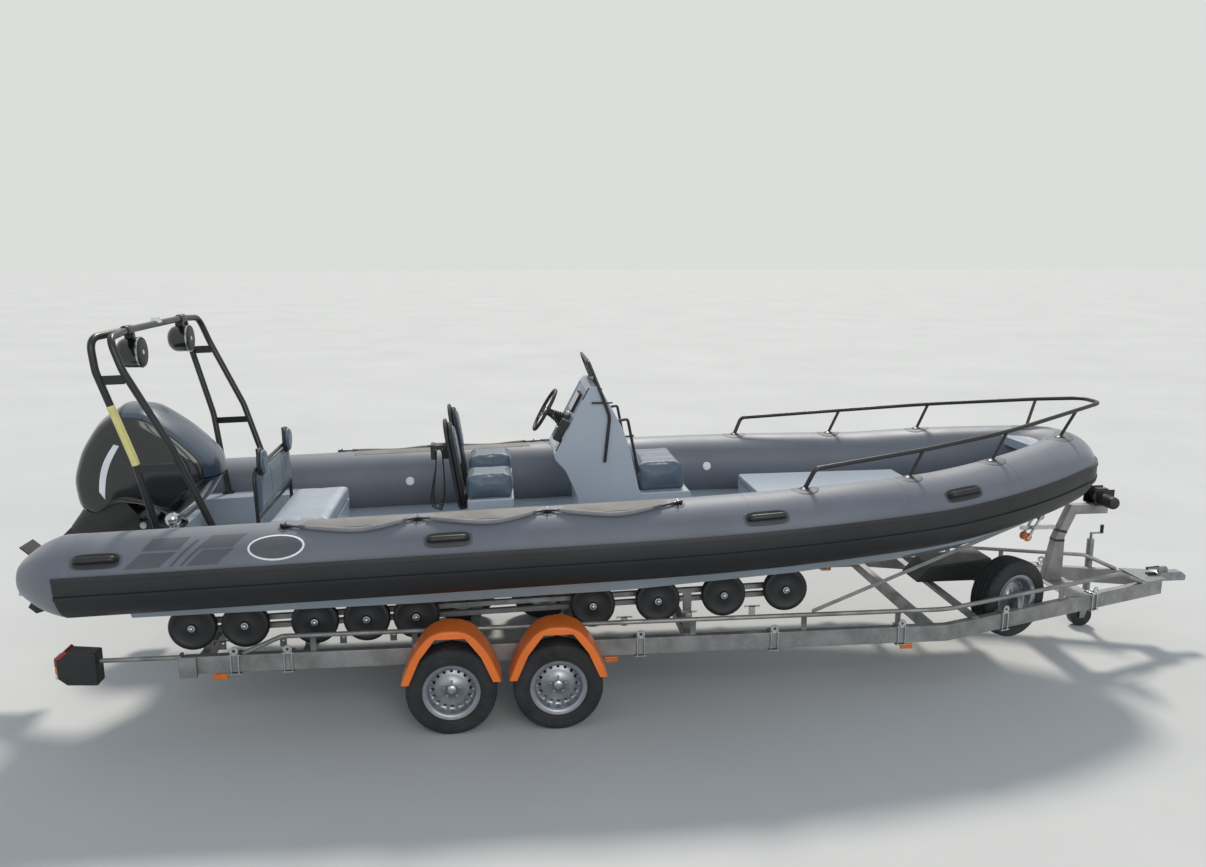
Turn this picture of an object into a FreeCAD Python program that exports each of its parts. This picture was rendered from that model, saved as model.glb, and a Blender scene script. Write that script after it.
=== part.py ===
import FreeCAD, Part
import math
import os
import re
from types import SimpleNamespace

import Sketcher
from FreeCAD import Placement, Rotation, Vector

os.makedirs("parts", exist_ok=True)

# Rigid inflatable boat with outboard, on its tandem-axle roller trailer. Millimetres.
# Trailer frame: X forward to the coupling, Y to port, Z up from the ground.
# Boat frame: X forward from the aft end of the collar's straight stretch, Z up from the
# collar's centre line there. It sits in the trailer frame at boatX, boatZ, bow up by trim.

SIZES = [
    # Road wheels, axles and fenders
    ("midAxleX", -1120),
    ("axleSpacing", 740),
    ("trackHalf", 1060),
    ("tyreRadius", 315),
    ("tyreWide", 200),
    ("rimRadius", 197),
    ("barrelRadius", 166),
    ("discFace", 30),
    ("discThick", 10),
    ("ventCircle", 132),
    ("ventRadius", 12),
    ("axleTube", 80),
    ("axleLead", 150),
    ("armThick", 40),
    ("drumRadius", 115),
    ("drumInset", 50),
    ("drumLip", 10),
    ("hubRadius", 32),
    ("runGap", 0.5),
    ("fenderHalf", 343),
    ("fenderKneeX", 262),
    ("fenderKneeZ", 600),
    ("fenderFlatHalf", 122),
    ("fenderTop", 768),
    ("fenderFoot", 390),
    ("fenderSheet", 6),
    ("fenderLip", 55),
    ("fenderInner", 935),
    ("fenderOuter", 1173),
    # Trailer frame
    ("beamHalf", 880),
    ("beamWide", 60),
    ("beamHigh", 125),
    ("beamTop", 555),
    ("beamRearX", -3330),
    ("beamBendX", 2180),
    ("armEndX", 4460),
    ("armEndY", 95),
    ("railRadius", 17),
    ("railTop", 687),
    ("railRearX", -2660),
    ("railFootX", -2930),
    ("railEndX", 4230),
    ("railBend", 120),
    ("postWide", 40),
    ("postThick", 8),
    ("crossHigh", 80),
    ("crossWide", 60),
    ("crossDrop", 45),
    ("couplingTipX", 4736),
    ("couplingZ", 545),
    ("ballX", 4640),
    ("ballRadius", 25.5),
    ("noseHigh", 70),
    # Roller cradles
    ("rollerRadius", 165),
    ("rollerThick", 62),
    ("rollerHub", 30),
    ("rollerHalf", 745),
    ("rollerPin", 12),
    ("cradleHalf", 640),
    ("cradleBar", 36),
    ("cradlePitch", 64),
    ("seatGap", 0.3),
    # Winch post, bow stop and spare wheel
    ("postFootX", 3520),
    ("postMidX", 3556),
    ("postMidZ", 935),
    ("postBendX", 3640),
    ("postBendZ", 1169),
    ("postArmX", 3960),
    ("postSide", 80),
    ("winchX", 3900),
    ("winchZ", 1285),
    ("spareX", 2880),
    ("spareY", -470),
    ("spareZ", 600),
    ("spareTurn", 18.9),
    # Lamps and drawbar furniture
    ("lampArmZ", 545),
    ("lampRearX", -3880),
    ("lampFaceX", -4140),
    ("jockeyX", 4060),
    ("jockeyTube", 24),
    ("jockeyTop", 800),
    ("jockeyRadius", 100),
    ("jockeyThick", 60),
    ("jockeyTrail", 45),
    ("jockeyPin", 9),
    ("boxRearX", 2330),
    ("boxFrontX", 2980),
    ("boxTop", 760),
    ("boxFloor", 568),
    # Boat frame and collar
    ("boatX", -3910),
    ("boatZ", 1242),
    ("trim", 1.84),
    ("tubeRadius", 267),
    ("tubeHalf", 1127),
    ("tubeStraight", 3649),
    ("sideBend", 9000),
    ("sheerStartX", 5800),
    ("sheerRise", 4),
    ("sheerBend", 4500),
    ("cheekTurn", 35),
    ("noseBend", 340),
    ("coneLong", 285),
    ("coneEnd", 105),
    ("bandThick", 4),
    ("strakeDeep", 14),
    # Hull and deck
    ("transomX", 290),
    ("transomThick", 62),
    ("transomHalf", 820),
    ("transomTop", -40),
    ("deckZ", -195),
    ("hullSeat", 0.3),
    ("quarterLong", 780),
    ("quarterTop", 30),
    # Console and helm
    ("consoleHalf", 350),
    ("consoleX", 3196),
    ("helmRadius", 172),
    ("helmTube", 13),
    ("helmX", 3165),
    ("helmZ", 748),
    ("helmLean", 31.5),
    ("screenThick", 8),
    # Seats
    ("seatY", 350),
    ("jockeyWide", 330),
    ("jockeyRearX", 2545),
    ("jockeyFrontX", 2885),
    ("jockeySeatZ", 190),
    ("seatTop", 372),
    ("backWide", 300),
    ("backFootX", 2540),
    ("backFootZ", 90),
    ("backHigh", 696),
    ("backLean", 7),
    ("backPad", 34),
    ("backShell", 24),
    ("benchRearX", 1040),
    ("benchFrontX", 1540),
    ("benchHalf", 520),
    ("benchTop", 118),
    ("benchBackX", 1070),
    ("benchBackHalf", 550),
    ("benchBackLow", 165),
    ("benchBackTop", 488),
    ("headrestY", 430),
    ("headrestWide", 190),
    ("padRound", 24),
    ("lockerRearX", 4800),
    ("lockerFrontX", 6100),
    ("lockerHalf", 430),
    ("lockerEnd", 290),
    ("lidLow", -16),
    ("lidTop", 45),
    ("lockerWall", 18),
    ("knuckleRadius", 7),
    ("knuckleLong", 60),
    ("leafLong", 45),
    ("leafThick", 6),
    # Rails and arch
    ("bowRailRadius", 16),
    ("patchRadius", 48),
    ("patchThick", 7),
    ("archRadius", 24),
    ("archCrossX", 343),
    ("archCrossY", 590),
    ("archCrossZ", 1528),
    ("speakerRadius", 105),
    ("speakerY", 540),
    ("speakerZ", 1372),
    ("handleAngle", 34),
    ("lineRadius", 7),
    ("lineProud", 12),
    ("ringAngle", 74),
    ("stapleThick", 7),
    # Outboard, in its own frame: X forward, Z up, from the tilt pin
    ("pivotX", 142),
    ("pivotZ", 53),
    ("tiltRest", 45),
    ("pivotRadius", 20),
    ("clampInner", 130),
    ("clampThick", 38),
    ("swivelX", -125),
    ("swivelRadius", 46),
    ("yokeTop", 98),
    ("yokeLow", -330),
    ("cowlHalf", 285),
    ("plateZ", -745),
    ("shaftZ", -930),
    ("propX", -345),
    ("propRadius", 168),
    ("skegZ", -1135),
]

doc = FreeCAD.newDocument("BoatOnTrailer")
sheet = doc.addObject("Spreadsheet::Sheet", "Sizes")
for row, (alias, value) in enumerate(SIZES, start=1):
    sheet.set(f"A{row}", alias)
    sheet.set(f"B{row}", str(value))
    sheet.setAlias(f"B{row}", alias)
doc.recompute()
S = SimpleNamespace(**{alias: float(sheet.get(alias)) for alias, _ in SIZES})

X_AXIS = Vector(1, 0, 0)
Y_AXIS = Vector(0, 1, 0)
Z_AXIS = Vector(0, 0, 1)
NODES = []


def with_sheet(formula):
    """The formula with each size's name pointed at the sheet."""
    return re.sub(r"[A-Za-z]\w*", lambda word: "Sizes." + word.group()
                  if hasattr(S, word.group()) else word.group(), str(formula))


def bind(piece, formulas):
    for place, formula in formulas.items():
        piece.setExpression(place, with_sheet(formula))
    return piece


def put(piece, at):
    """Binds a piece's position to three formulas."""
    return bind(piece, {f"Placement.Base.{axis}": formula for axis, formula in zip("xyz", at)})


def node(piece, label):
    """Makes the piece a sub-part with its own name and file."""
    piece.Label = label
    NODES.append(piece)
    return piece


def block(name, sizes, at):
    box = doc.addObject("Part::Box", name)
    bind(box, dict(zip(("Length", "Width", "Height"), sizes)))
    return put(box, at)


def rod(name, radius, length, at, axis=Z_AXIS):
    pin = doc.addObject("Part::Cylinder", name)
    pin.Placement.Rotation = Rotation(Z_AXIS, axis)
    bind(pin, {"Radius": radius, "Height": length})
    return put(pin, at)


def fused(name, pieces):
    join = doc.addObject("Part::MultiFuse", name)
    join.Shapes = pieces
    return join


def cut(name, base, tool):
    left = doc.addObject("Part::Cut", name)
    left.Base = base
    left.Tool = tool
    return left


def grouped(name, pieces):
    """Like pieces on one body, which don't touch, as one sub-part."""
    group = doc.addObject("Part::Compound", name)
    group.Links = pieces
    return group


def mirrored(name, piece):
    """The same piece on the other side of the centre line."""
    twin = doc.addObject("Part::Mirroring", name)
    twin.Source = piece
    twin.Normal = Y_AXIS
    return twin


def both_sides(name, piece):
    return grouped(name, [piece, mirrored(name + "_twin", piece)])


def solid(name, shape):
    """A sub-part whose form is worked out from the sheet's sizes."""
    piece = doc.addObject("Part::Feature", name)
    piece.Shape = shape
    return piece


def origin_plane(body, role):
    return next(item for item in body.Origin.OriginFeatures if item.Role == role)


def outline(body, name, plane, points, offset="0"):
    """A closed sketch of straight lines whose corners are bound to formulas."""
    sketch = body.newObject("Sketcher::SketchObject", name)
    sketch.AttachmentSupport = [(origin_plane(body, plane), "")]
    sketch.MapMode = "FlatFace"
    sketch.setExpression("AttachmentOffset.Base.z", with_sheet(offset))
    count = len(points)
    ring = [Vector(100 * math.cos(2 * math.pi * i / count), 100 * math.sin(2 * math.pi * i / count), 0)
            for i in range(count)]
    for i in range(count):
        sketch.addGeometry(Part.LineSegment(ring[i], ring[(i + 1) % count]))
    for i in range(count):
        sketch.addConstraint(Sketcher.Constraint("Coincident", i, 2, (i + 1) % count, 1))
    for i, corner in enumerate(points):
        for kind, formula, start in zip(("DistanceX", "DistanceY"), corner, (ring[i].x, ring[i].y)):
            index = sketch.addConstraint(Sketcher.Constraint(kind, -1, 1, i, 1, start))
            sketch.setExpression(f"Constraints[{index}]", with_sheet(formula))
    return sketch


def padded(name, plane, points, depth, offset="0", middle=True):
    """A body made by padding one outline, about its plane or from it."""
    body = doc.addObject("PartDesign::Body", name)
    sketch = outline(body, name + "_outline", plane, points, offset)
    pad = body.newObject("PartDesign::Pad", name + "_pad")
    pad.Profile = sketch
    pad.Midplane = middle
    bind(pad, {"Length": depth})
    return body


def rounded(body, radius, along):
    """Fillets the body's edges that run along a direction."""
    doc.recompute()
    tip = body.Tip
    names = [f"Edge{i}" for i, edge in enumerate(tip.Shape.Edges, start=1)
             if abs(edge.tangentAt(edge.FirstParameter).dot(along)) > 0.999 and len(edge.Vertexes) == 2]
    fillet = body.newObject("PartDesign::Fillet", body.Name + "_round")
    fillet.Base = (tip, names)
    bind(fillet, {"Radius": radius})
    return body


def eased(body, radius):
    """Fillets every edge of the body."""
    doc.recompute()
    tip = body.Tip
    fillet = body.newObject("PartDesign::Fillet", body.Name + "_ease")
    fillet.Base = (tip, [f"Edge{i}" for i in range(1, len(tip.Shape.Edges) + 1)])
    bind(fillet, {"Radius": radius})
    return body


def turned(name, points, plane="YZ_Plane"):
    """A body revolved about its own Y axis; each corner is a place along Y and a radius."""
    body = doc.addObject("PartDesign::Body", name)
    sketch = outline(body, name + "_outline", plane, points)
    spin = body.newObject("PartDesign::Revolution", name + "_spin")
    spin.Profile = sketch
    spin.ReferenceAxis = (sketch, ["H_Axis"])
    spin.Angle = 360
    return body


def on_boat(piece):
    """Sets a piece modelled in the boat frame into the trailer frame."""
    piece.Placement = Placement(Vector(), Rotation(Vector(0, -1, 0), S.trim))
    bind(piece, {"Placement.Base.x": "boatX", "Placement.Base.z": "boatZ"})
    bind(piece, {"Placement.Rotation.Angle": "trim"})
    return piece


def boat_node(piece, label):
    return node(on_boat(piece), label)


def disc(centre, along, radius):
    return Part.Face(Part.Wire(Part.makeCircle(radius, centre, along)))


def many_sided(centre, along, across, radius, sides):
    """A regular polygon's face; its first corner points across."""
    upright = along.cross(across)
    turns = [2 * math.pi * i / sides for i in range(sides)]
    return Part.Face(polygon([centre + (across * math.cos(turn) + upright * math.sin(turn)) * radius
                              for turn in turns]))


def swept(points, radius, bend, sides=12):
    """A tube along straight runs joined by tangent arcs, its round section drawn with flat sides."""
    points = [Vector(*point) for point in points]
    bends = bend if isinstance(bend, (list, tuple)) else [bend] * (len(points) - 2)
    pieces = []
    start = points[0]
    first = (points[1] - start).normalize()
    across = first.cross(Z_AXIS if abs(first.z) < 0.9 else X_AXIS).normalize()
    for i in range(1, len(points) - 1):
        before = (points[i] - points[i - 1]).normalize()
        after = (points[i + 1] - points[i]).normalize()
        turn = before.getAngle(after)
        inset = bends[i - 1] * math.tan(turn / 2)
        arc_start = points[i] - before * inset
        pieces.append(many_sided(start, before, across, radius, sides).extrude(arc_start - start))
        hinge = before.cross(after).normalize()
        centre = arc_start + hinge.cross(before) * bends[i - 1]
        bent = many_sided(arc_start, before, across, radius, sides)
        pieces.append(bent.revolve(centre, hinge, math.degrees(turn)))
        across = Rotation(hinge, math.degrees(turn)).multVec(across)
        start = points[i] + after * inset
    last = (points[-1] - points[-2]).normalize()
    pieces.append(many_sided(start, last, across, radius, sides).extrude(points[-1] - start))
    return pieces[0].multiFuse(pieces[1:]).removeSplitter() if len(pieces) > 1 else pieces[0]


def moved(shape, at, turn=Rotation()):
    """The shape turned about the origin and then carried to a place."""
    return shape.transformed(Placement(Vector(*at), turn).toMatrix(), True)


def mirror_y(shape):
    return shape.mirror(Vector(), Y_AXIS)


def polygon(points):
    return Part.makePolygon([Vector(*point) for point in points] + [Vector(*points[0])])


# Road wheels: tyre and dished rim as one solid, vent holes round the disc
half = "tyreWide/2"
WHEEL_OUTLINE = [
    # place across the tyre, radius
    ("discFace + 14", "0"),
    ("discFace + 14", "hubRadius"),
    ("discFace", "hubRadius"),
    ("discFace", "ventCircle - 30"),
    ("discFace - 22", "barrelRadius - 8"),
    (f"{half} - 14", "barrelRadius"),
    (f"{half} - 8", "rimRadius"),
    (f"{half} - 14", "rimRadius + 6"),
    (f"{half}", "rimRadius + 55"),
    (f"{half} - 10", "tyreRadius - 20"),
    (f"{half} - 30", "tyreRadius"),
    (f"30 - {half}", "tyreRadius"),
    (f"10 - {half}", "tyreRadius - 20"),
    (f"-{half}", "rimRadius + 55"),
    (f"14 - {half}", "rimRadius + 6"),
    (f"8 - {half}", "rimRadius"),
    (f"14 - {half}", "barrelRadius"),
    ("discFace - 22 - discThick", "barrelRadius - 8"),
    ("discFace - discThick", "ventCircle - 32"),
    ("discFace - discThick", "0"),
]


def wheel(name):
    body = turned(name, WHEEL_OUTLINE)
    doc.recompute()
    hole_sketch = body.newObject("Sketcher::SketchObject", name + "_vent")
    hole_sketch.AttachmentSupport = [(origin_plane(body, "XZ_Plane"), "")]
    hole_sketch.MapMode = "FlatFace"
    hole_sketch.addGeometry(Part.Circle(Vector(0, 100, 0), Z_AXIS, 10))
    hole_sketch.addConstraint(Sketcher.Constraint("PointOnObject", 0, 3, -2))
    for kind, formula, ends in (("DistanceY", "ventCircle", (-1, 1, 0, 3)), ("Radius", "ventRadius", (0,))):
        index = hole_sketch.addConstraint(Sketcher.Constraint(kind, *ends, 20 if kind == "Radius" else 100))
        hole_sketch.setExpression(f"Constraints[{index}]", with_sheet(formula))
    vent = body.newObject("PartDesign::Pocket", name + "_vent_cut")
    vent.Profile = hole_sketch
    vent.Midplane = True
    bind(vent, {"Length": "tyreWide"})
    doc.recompute()
    ring = body.newObject("PartDesign::PolarPattern", name + "_vents")
    ring.Originals = [vent]
    ring.Axis = (hole_sketch, ["N_Axis"])
    ring.Angle = 360
    ring.Occurrences = 16
    body.Tip = ring
    return body


for end, end_sign in (("rear", "-"), ("front", "+")):
    for side, side_sign, turn in (("left", "+", 0), ("right", "-", 180)):
        road_wheel = wheel(f"wheel_{end}_{side}")
        road_wheel.Placement.Rotation = Rotation(Z_AXIS, turn)
        put(road_wheel, (f"midAxleX {end_sign} axleSpacing/2", f"{side_sign}trackHalf", "tyreRadius"))
        node(road_wheel, f"wheel_{end}_{side}")

# Axles: square tube under the frame beams, trailing arms, stub and brake drum
axle_parts = []
for end, sign in (("rear", "-"), ("front", "+")):
    wheel_x = f"midAxleX {sign} axleSpacing/2"
    tube = block(f"axle_tube_{end}", ("axleTube", "2*beamHalf + 2*beamWide", "axleTube"), (
        f"{wheel_x} + axleLead - axleTube/2", "-beamHalf - beamWide", "beamTop - beamHigh - axleTube"))
    pieces = [tube]
    for side, port in (("left", True), ("right", False)):
        inner = "beamHalf + beamWide - armThick" if port else "-beamHalf - beamWide"
        arm = padded(f"axle_arm_{end}_{side}", "XZ_Plane", [
            ("-35", "tyreRadius - 35"), ("35", "tyreRadius - 35"),
            ("axleLead + 40", "beamTop - beamHigh - axleTube"), ("axleLead + 40", "beamTop - beamHigh"),
            ("axleLead - 40", "beamTop - beamHigh"), ("-35", "tyreRadius + 35")],
            "armThick", middle=True)
        put(arm, (wheel_x, f"{inner} + armThick/2", "0"))
        pieces.append(arm)
        tip = "trackHalf + discFace - discThick - runGap"
        drum_y = "beamHalf + beamWide + drumInset" if port else "drumLip - trackHalf"
        drum_long = "trackHalf - drumLip - beamHalf - beamWide - drumInset"
        drum = rod(f"drum_{end}_{side}", "drumRadius", drum_long, (wheel_x, drum_y, "tyreRadius"), Y_AXIS)
        stub_y = "beamHalf + beamWide - 1" if port else f"-({tip})"
        stub = rod(f"stub_{end}_{side}", "hubRadius", f"{tip} - beamHalf - beamWide + 1",
                   (wheel_x, stub_y, "tyreRadius"), Y_AXIS)
        pieces += [drum, stub]
    axle_parts.append(fused(f"axle_{end}", pieces))
node(grouped("axles", axle_parts), "axles")

# Fenders: sheet bent over each wheel in flats, with a deep outer lip
fender_parts = []
FENDER_HALF = [
    # half length, height
    ("fenderHalf", "fenderFoot"),
    ("fenderKneeX", "fenderKneeZ"),
    ("fenderFlatHalf", "fenderTop"),
]


def fender_ring(inset):
    outer = FENDER_HALF + [("-" + across, up) for across, up in reversed(FENDER_HALF)]
    inner = [("fenderHalf - " + inset, "fenderFoot"),
             (f"fenderKneeX - 0.95*{inset}", f"fenderKneeZ - 0.55*{inset}"),
             (f"fenderFlatHalf - 0.35*{inset}", f"fenderTop - {inset}")]
    inner_left = [(f"-({across})", up) for across, up in inner]
    return outer + inner_left + list(reversed(inner))


for end, sign in (("rear", "-"), ("front", "+")):
    skin = padded(f"fender_skin_{end}", "XZ_Plane", fender_ring("fenderSheet"), "fenderOuter - fenderInner")
    put(skin, (f"midAxleX {sign} axleSpacing/2", "(fenderOuter + fenderInner)/2", "0"))
    lip = padded(f"fender_lip_{end}", "XZ_Plane", fender_ring("fenderLip"), "fenderSheet")
    put(lip, (f"midAxleX {sign} axleSpacing/2", "fenderOuter - fenderSheet/2", "0"))
    stay = block(f"fender_stay_{end}", ("40", "fenderInner - beamHalf - beamWide/2 + 12", "fenderSheet"),
                 (f"midAxleX {sign} axleSpacing/2 - 20", "beamHalf + beamWide/2",
                  "fenderTop - 2*fenderSheet + runGap"))
    leg = block(f"fender_leg_{end}", ("40", "fenderSheet", "fenderTop - fenderSheet - beamTop + beamHigh/2"),
                (f"midAxleX {sign} axleSpacing/2 - 20", "beamHalf + beamWide/2", "beamTop - beamHigh/2"))
    fender_parts.append(fused(f"fender_{end}", [skin, lip, stay, leg]))
fender_parts += [mirrored(part.Name + "_right", part) for part in list(fender_parts)]
node(grouped("fenders", fender_parts), "fenders")

# Side beams: long box sections that close in to the coupling
side_beam = padded("side_beam", "XY_Plane", [
    ("beamRearX", "beamHalf - beamWide/2"), ("beamBendX", "beamHalf - beamWide/2"),
    ("armEndX", "armEndY - beamWide/2"), ("armEndX", "armEndY + beamWide/2"),
    ("beamBendX", "beamHalf + beamWide/2"), ("beamRearX", "beamHalf + beamWide/2")],
    "beamHigh", "beamTop - beamHigh", middle=False)
node(both_sides("side_beams", side_beam), "side_beams")

# Upper rails: round tube over each beam on flat posts, following the drawbar
RAIL_POSTS = [-2450, -1750, 250, 1080, 1800]
rail_z = S.railTop - S.railRadius
arm_slope = (S.beamHalf - S.armEndY) / (S.armEndX - S.beamBendX)


def arm_y(x):
    """The beam's centre line at a place along the drawbar."""
    return S.beamHalf if x < S.beamBendX else S.beamHalf - (x - S.beamBendX) * arm_slope


rail = swept([
    (S.railFootX, S.beamHalf, S.beamTop), (S.railRearX, S.beamHalf, rail_z),
    (S.beamBendX, S.beamHalf, rail_z), (S.railEndX - 250, arm_y(S.railEndX - 250), rail_z),
    (S.railEndX, arm_y(S.railEndX), S.beamTop + 4)],
    S.railRadius, [S.railBend, 600, S.railBend])
posts = []
for x in RAIL_POSTS + [2900, 3330]:
    foot = Vector(x - S.postWide / 2, arm_y(x) - S.postThick / 2, S.beamTop)
    posts.append(Part.makeBox(S.postWide, S.postThick, rail_z - S.beamTop, foot))
trim_box = Part.makeBox(9000, 3000, 200, Vector(-4500, 0, S.beamTop - 200))
rail_left = rail.multiFuse(posts).cut(trim_box).removeSplitter()
node(solid("upper_rails", Part.makeCompound([rail_left, mirror_y(rail_left)])), "upper_rails")

# Cross tubes between the beams, the last one across the drawbar
CROSS_TUBES = [("rear", -3230), ("cradle_rear", -2520), ("cradle_front", 250), ("bend", 2120)]
crosses = []
for name, x in CROSS_TUBES:
    crosses.append(block(f"cross_{name}", ("crossWide", "2*beamHalf - beamWide", "crossHigh"),
                         (f"{x} - crossWide/2", "beamWide/2 - beamHalf", "beamTop - crossDrop - crossHigh")))
doc.recompute()
BEARERS = [
    # X, from Y, to Y
    (2450, -800, 800),
    (2900, -30, 612),
]
beams = [side_beam.Shape, mirror_y(side_beam.Shape)]
bearers = [Part.makeBox(60, high - low, 30, Vector(x - 30, low, S.boxFloor - 30.3)).cut(beams)
           for x, low, high in BEARERS]
crosses.append(solid("box_bearers", Part.makeCompound(bearers)))
node(grouped("cross_tubes", crosses), "cross_tubes")

# Coupling: plates over the two arms, drawbar nose and ball socket
plate = padded("coupling_plate", "XY_Plane", [
    ("armEndX - 190", "armEndY + beamWide/2 + 190*(beamHalf - armEndY)/(armEndX - beamBendX)"),
    ("armEndX + 30", "armEndY + beamWide/2"), ("armEndX + 30", "-armEndY - beamWide/2"),
    ("armEndX - 190", "-armEndY - beamWide/2 - 190*(beamHalf - armEndY)/(armEndX - beamBendX)")],
    "8", "beamTop", middle=False)
nose = padded("coupling_nose", "XZ_Plane", [
    ("armEndX + 2", "beamTop - beamHigh + 20"), ("armEndX + 60", "couplingZ - noseHigh/2"),
    ("couplingTipX", "couplingZ - noseHigh/2"), ("couplingTipX", "couplingZ + 8"),
    ("couplingTipX - 40", "couplingZ + noseHigh/2 + 6"), ("armEndX + 60", "beamTop + 30"),
    ("armEndX + 2", "beamTop + 8")], "76")
rounded(nose, "14", Y_AXIS)
socket = rod("coupling_socket", "ballRadius", "noseHigh - 20", ("ballX", "0", "couplingZ - noseHigh/2 - 10"))
lever = padded("coupling_lever", "XZ_Plane", [
    ("armEndX + 40", "beamTop + 20"), ("armEndX + 130", "beamTop + 40"), ("armEndX + 110", "beamTop + 75"),
    ("armEndX - 60", "beamTop + 68"), ("armEndX - 60", "beamTop + 55"),
    ("armEndX + 40", "beamTop + 52")], "26")
node(cut("coupling", fused("coupling_body", [plate, nose, lever]), socket), "coupling")


# Hull: deep V with a broad chine flat, shaped to the collar that sits on its shoulder
HULL_STATIONS = [
    # x, keel z, inner chine y, z, outer chine y, z, lip y, z, deck z
    (290, -700, 700, -378, 970, -372, 1020, -290, -195),
    (2150, -700, 700, -412, 970, -405, 1020, -290, -195),
    (3650, -700, 700, -428, 970, -412, 1020, -290, -195),
    (4900, -700, 650, -402, 880, -398, 930, -285, -195),
    (5700, -685, 520, -400, 745, -385, 790, -270, -190),
    (6400, -625, 350, -400, 560, -360, 610, -215, -160),
    (6900, -500, 200, -350, 350, -300, 395, -140, -110),
    (7230, -320, 80, -240, 150, -210, 190, -90, -70),
    (7420, -205, 30, -180, 55, -165, 70, -100, -75),
]


def hull_bottom(x, y):
    """Height of the hull's underside in the boat frame, between two stations."""
    pairs = list(zip(HULL_STATIONS, HULL_STATIONS[1:]))
    aft, fore = next((pair for pair in pairs if pair[0][0] <= x <= pair[1][0]), pairs[0])
    share = (x - aft[0]) / (fore[0] - aft[0])
    mix = [a + (b - a) * share for a, b in zip(aft, fore)]
    _, keel, inner_y, inner_z, outer_y, outer_z, _, _, _ = mix
    if y < inner_y:
        return keel + (inner_z - keel) * y / inner_y
    return inner_z + (outer_z - inner_z) * (y - inner_y) / (outer_y - inner_y)


def to_trailer(x, z):
    """A point of the boat frame's middle plane, in the trailer frame."""
    turn = math.radians(S.trim)
    return (S.boatX + x * math.cos(turn) - z * math.sin(turn),
            S.boatZ + x * math.sin(turn) + z * math.cos(turn))


def station(row):
    x, keel, inner_y, inner_z, outer_y, outer_z, lip_y, lip_z, deck = row
    side = [(inner_y, inner_z), (outer_y, outer_z), (lip_y, lip_z), (lip_y, deck)]
    ring = [(x, 0, keel)] + [(x, y, z) for y, z in side] + [(x, -y, z) for y, z in reversed(side)]
    return polygon(ring)


def collar_line():
    """Arc data of the collar's port side: straight run, bends and nose, in the boat frame."""
    runs = []
    place = Vector(0, S.tubeHalf, 0)
    heading = Vector(1, 0, 0)
    runs.append(("line", place, heading, Vector(S.tubeStraight, 0, 0)))
    place = place + Vector(S.tubeStraight, 0, 0)

    def arc(hinge, radius, degrees):
        nonlocal place, heading
        centre = place + hinge.cross(heading) * radius
        runs.append(("arc", place, heading, (centre, hinge, degrees)))
        turn = Rotation(hinge, degrees)
        place = centre + turn.multVec(place - centre)
        heading = turn.multVec(heading)

    first = math.degrees(math.asin((S.sheerStartX - S.tubeStraight) / S.sideBend))
    arc(Vector(0, 0, -1), S.sideBend, first)
    arc(heading.cross(Z_AXIS).normalize(), S.sheerBend, S.sheerRise)
    tip = heading.cross(Y_AXIS).normalize()
    tip = tip if tip.z < 0 else tip * -1
    yaw = math.asin(-heading.y)
    cheek = math.radians(S.cheekTurn)
    nose_reach = S.noseBend * math.cos(cheek)
    cheek_bend = (place.y - nose_reach) / (math.cos(yaw) - math.cos(cheek))
    arc(tip, cheek_bend, S.cheekTurn - math.degrees(yaw))
    arc(tip, S.noseBend, 90 - S.cheekTurn)
    return runs, place


COLLAR, NOSE = collar_line()


def along_collar(section):
    """Sweeps a face that section(place, heading) makes along the collar, on both sides."""
    pieces = []
    for kind, place, heading, data in COLLAR:
        if kind == "line":
            pieces.append(section(place, heading).extrude(data))
        else:
            centre, hinge, degrees = data
            pieces.append(section(place, heading).revolve(centre, hinge, degrees))
    pieces += [mirror_y(piece) for piece in pieces]
    return pieces[0].multiFuse(pieces[1:]).removeSplitter()


def collar(radius):
    return along_collar(lambda place, heading: disc(place, heading, radius))


def collar_place(x):
    """Centre, heading and outward direction of the collar's port side at a place along X."""
    for kind, place, heading, data in COLLAR:
        if kind == "line":
            if x <= place.x + data.x:
                return Vector(x, place.y, place.z), heading, Vector(0, 1, 0)
            continue
        centre, hinge, degrees = data
        low, high = 0.0, degrees
        end = centre + Rotation(hinge, degrees).multVec(place - centre)
        if x > end.x:
            continue
        for _ in range(40):
            middle = (low + high) / 2
            at = centre + Rotation(hinge, middle).multVec(place - centre)
            low, high = (middle, high) if at.x < x else (low, middle)
        turn = Rotation(hinge, low)
        heading = turn.multVec(heading)
        return centre + turn.multVec(place - centre), heading, Z_AXIS.cross(heading).normalize()
    raise ValueError(f"{x} is past the collar")


def on_collar(x, degrees, proud=0):
    """A point on the port collar, degrees above its outer side, proud of its skin."""
    centre, heading, outward = collar_place(x)
    upward = heading.cross(outward).normalize()
    reach = S.tubeRadius + proud
    angle = math.radians(degrees)
    return centre + outward * (reach * math.cos(angle)) + upward * (reach * math.sin(angle))


def ring_sector(place, heading, inner, outer, low, high):
    """A face between two radii and two angles above the collar's outer side."""
    outward = Z_AXIS.cross(heading).normalize()
    upward = heading.cross(outward).normalize()

    def at(radius, degrees):
        angle = math.radians(degrees)
        return place + outward * (radius * math.cos(angle)) + upward * (radius * math.sin(angle))

    middle = (low + high) / 2
    edges = [Part.Arc(at(inner, low), at(inner, middle), at(inner, high)).toShape(),
             Part.LineSegment(at(inner, high), at(outer, high)).toShape(),
             Part.Arc(at(outer, high), at(outer, middle), at(outer, low)).toShape(),
             Part.LineSegment(at(outer, low), at(inner, low)).toShape()]
    return Part.Face(Part.Wire(edges))


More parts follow.
